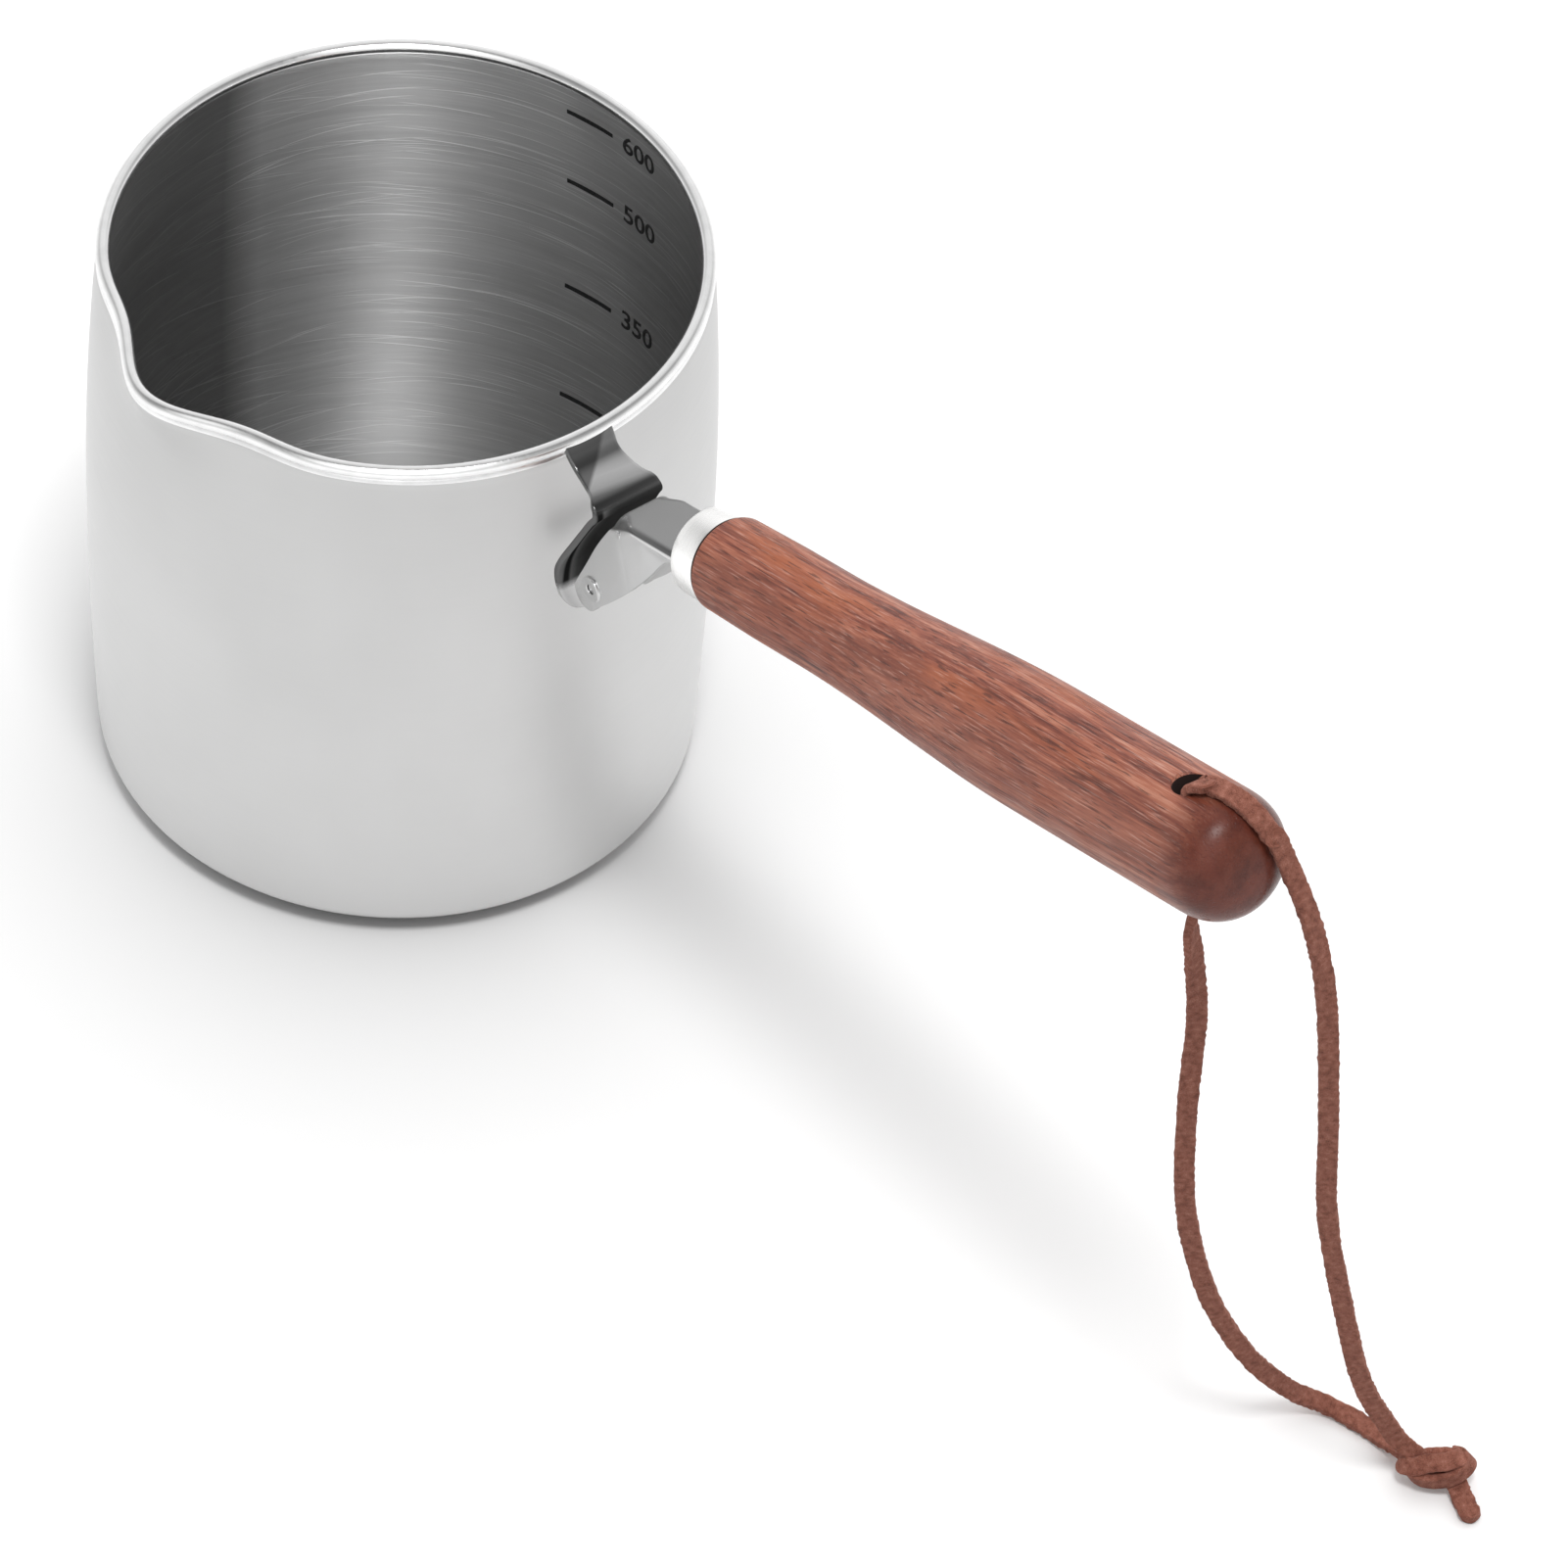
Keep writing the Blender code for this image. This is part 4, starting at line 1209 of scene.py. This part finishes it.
def make_lace(leather):
    steps = 40
    front = strap_frames(over_grip() + down_front(), steps)
    split = len(over_grip()) * steps
    over = strap("lace_over_grip", front[: split + 1], leather, 1.0)
    length = sum((b[0] - a[0]).length for a, b in zip(front[:split], front[1 : split + 1]))
    settle(over, "handle", "lace_saddle")

    hang = strap("lace_front_hang", front[split:], leather, 1.0, start_length=length)
    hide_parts("lace_front_strand")
    top = front[split][0]
    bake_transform(hang)
    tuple(top)

    rear_frames = strap_frames(down_rear(), steps)
    rear = strap("lace_rear_hang", rear_frames, leather, 2.0)
    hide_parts("lace_rear_strand")
    top = from_handle(LACE_HOLE, -GRIP_BELLY_RADIUS - 0.5 * MM)
    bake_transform(rear)
    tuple(top)

    for seed, (name, points) in enumerate(KNOT_TURNS.items()):
        frames = strap_frames(knot_turn(points), 14)
        piece = strap("lace_knot_" + name, frames, leather, 3.0 + seed, width=2.7 * MM, thick=1.2 * MM)
        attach(piece, "lace")
    tail_path = [(in_knot(*point), Vector((0.25, -0.3, 1.0))) for point in KNOT_TAIL]
    frames = strap_frames(tail_path, 20)
    tail = strap("lace_knot_tail", frames, leather, 9.0, width=3.1 * MM, round_end=True)
    settle(tail, "lace", "lace_knot")


# ---- scene


def make_floor():
    finish = Finish("studio_floor")
    cloud = finish.grain((3, 3, 3), 2.0, 0.5)
    colour = finish.mix(finish.remap(cloud, 0.3, 0.7), grey(0.98), grey(0.985))
    finish.set(Base_Color=colour, Roughness=1.0, Specular_IOR_Level=0.0)
    size = 6.0
    floor = add_mesh(
        "studio_floor",
        [(-size, -size, 0), (size, -size, 0), (size, size, 0), (-size, size, 0)],
        [(0, 1, 2, 3)],
        [finish.material],
    )
    for polygon in floor.data.polygons:
        if polygon.normal.z < 0:
            floor.data.flip_normals()
            break
    floor.location.z = -0.00005


def area_light(name, place, target, size, power):
    """A lamp that is ten times weaker for light that has left a dull surface."""
    data = bpy.data.lights.new(name, "AREA")
    data.shape = "RECTANGLE"
    data.size, data.size_y = size
    data.energy = power
    data.use_nodes = True
    tree = data.node_tree
    path = tree.nodes.new("ShaderNodeLightPath")
    dim = tree.nodes.new("ShaderNodeMapRange")
    dim.inputs[3].default_value = 1.0
    dim.inputs[4].default_value = 0.1
    tree.links.new(path.outputs["Diffuse Depth"], dim.inputs[0])
    tree.links.new(dim.outputs[0], tree.nodes["Emission"].inputs["Strength"])
    light = add_object(name, data)
    light.location = place
    light.rotation_mode = "QUATERNION"
    light.rotation_quaternion = (Vector(target) - Vector(place)).to_track_quat("-Z", "Y")


def make_light():
    """A pale room, brighter on its far side, and a key lamp.

    Metal sees the room dimmer overhead and brighter behind the camera. The room is dim in metal that lights
    the floor.
    """
    world = bpy.data.worlds.new("studio")
    world.use_nodes = True
    bpy.context.scene.world = world
    sky = Nodes(world.node_tree)
    way = sky.node("TexCoord").outputs["Generated"]
    rise = sky.node("SeparateXYZ", {0: way}).outputs[2]
    ramp = sky.node("ValToRGB", {"Fac": rise})
    stops = ((0.0, 1.0), (0.25, 0.85), (0.55, 0.46), (0.90, 0.26))
    for place, _ in stops[2:]:
        ramp.color_ramp.elements.new(place)
    for element, (place, level) in zip(ramp.color_ramp.elements, stops):
        element.position = place
        element.color = (*grey(level), 1.0)

    def facing(direction):
        return sky.node("VectorMath", {0: way, 1: direction}, operation="DOT_PRODUCT").outputs["Value"]

    def choose(switch, off, on):
        return sky.node("Mix", {0: switch, 2: off, 3: on}, data_type="FLOAT").outputs[0]

    toward = CAMERA_BACK.normalized()
    behind = Vector((-toward.x, -toward.y, toward.z))
    far = Vector((-toward.x, -toward.y, 0.0)).normalized()
    seen = sky.add(ramp.outputs[0], sky.remap(facing(toward), 0.80, 0.97, 0.0, 1.15))
    seen = sky.add(seen, sky.remap(facing(behind), 0.75, 0.95, 0.0, 0.5))
    path = sky.node("LightPath").outputs
    after_floor = sky.math("GREATER_THAN", path["Diffuse Depth"], 0.5)
    seen = choose(after_floor, seen, FLOOR_GLEAM)
    room = sky.remap(facing(far), -1.0, 1.0, ROOM_NEAR, ROOM_FAR)
    level = choose(path["Is Glossy Ray"], room, seen)
    level = choose(path["Is Camera Ray"], level, 1.0)
    background = sky.tree.nodes["Background"]
    sky.tree.links.new(level, background.inputs["Strength"])
    background.inputs["Color"].default_value = (1.0, 1.0, 1.0, 1.0)
    turn = radians(KEY_AZIMUTH)
    rise = radians(KEY_ELEVATION)
    away = Vector((cos(turn) * cos(rise), sin(turn) * cos(rise), sin(rise)))
    area_light("key_over_the_camera", KEY_TARGET + away * KEY_DISTANCE, KEY_TARGET, KEY_SIZE, KEY_POWER)


def make_camera():
    data = bpy.data.cameras.new("camera")
    data.lens = CAMERA_LENS
    data.sensor_width = 36.0
    data.clip_start = 0.05
    camera = add_object("camera", data)
    turn = Matrix((CAMERA_RIGHT, CAMERA_UP, CAMERA_BACK)).transposed().to_4x4()
    camera.matrix_world = Matrix.Translation(CAMERA_PLACE) @ turn
    bpy.context.scene.camera = camera


def keep_hidden_hardware():
    """The stud and the threaded insert inside the grip stay as the CAD has them."""
    finishes = {
        "tang_stud": turned_metal("stud_steel", grey(0.55), 0.4, 2200),
        "threaded_insert": turned_metal("insert_brass", (0.72, 0.52, 0.22), 0.35, 1400),
    }
    for node, finish in finishes.items():
        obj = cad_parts[node]
        obj.data.materials.clear()
        obj.data.materials.append(finish)


def main():
    bpy.context.scene.view_settings.view_transform = "Standard"
    bpy.context.scene.view_settings.look = "None"
    # The rim's steel is painted paler than the wall's, a painted highlight on the bead
    make_pot(inner_steel(), outer_steel(), sheet_steel("rim_steel", grey(0.80), grey(0.88), 0.20))
    make_marks(printed_mark())
    make_bracket(bracket_finish())
    make_tang(tang_finish(), dark_edge("tang_edge"))
    rivet_finish = sheet_steel("rivet_steel", grey(0.55), grey(0.65), 0.2)
    make_rivet(rivet_finish)
    make_stop_pin(rivet_finish)
    hole_and_joint_shade = hole_shade()
    make_ferrule(turned_metal("ferrule_steel", (1.0, 0.995, 0.985), 0.26, 6000), hole_and_joint_shade)
    make_grip(grip_wood(), hole_and_joint_shade)
    make_lace(lace_leather())
    keep_hidden_hardware()
    make_floor()
    make_light()
    make_camera()


main()
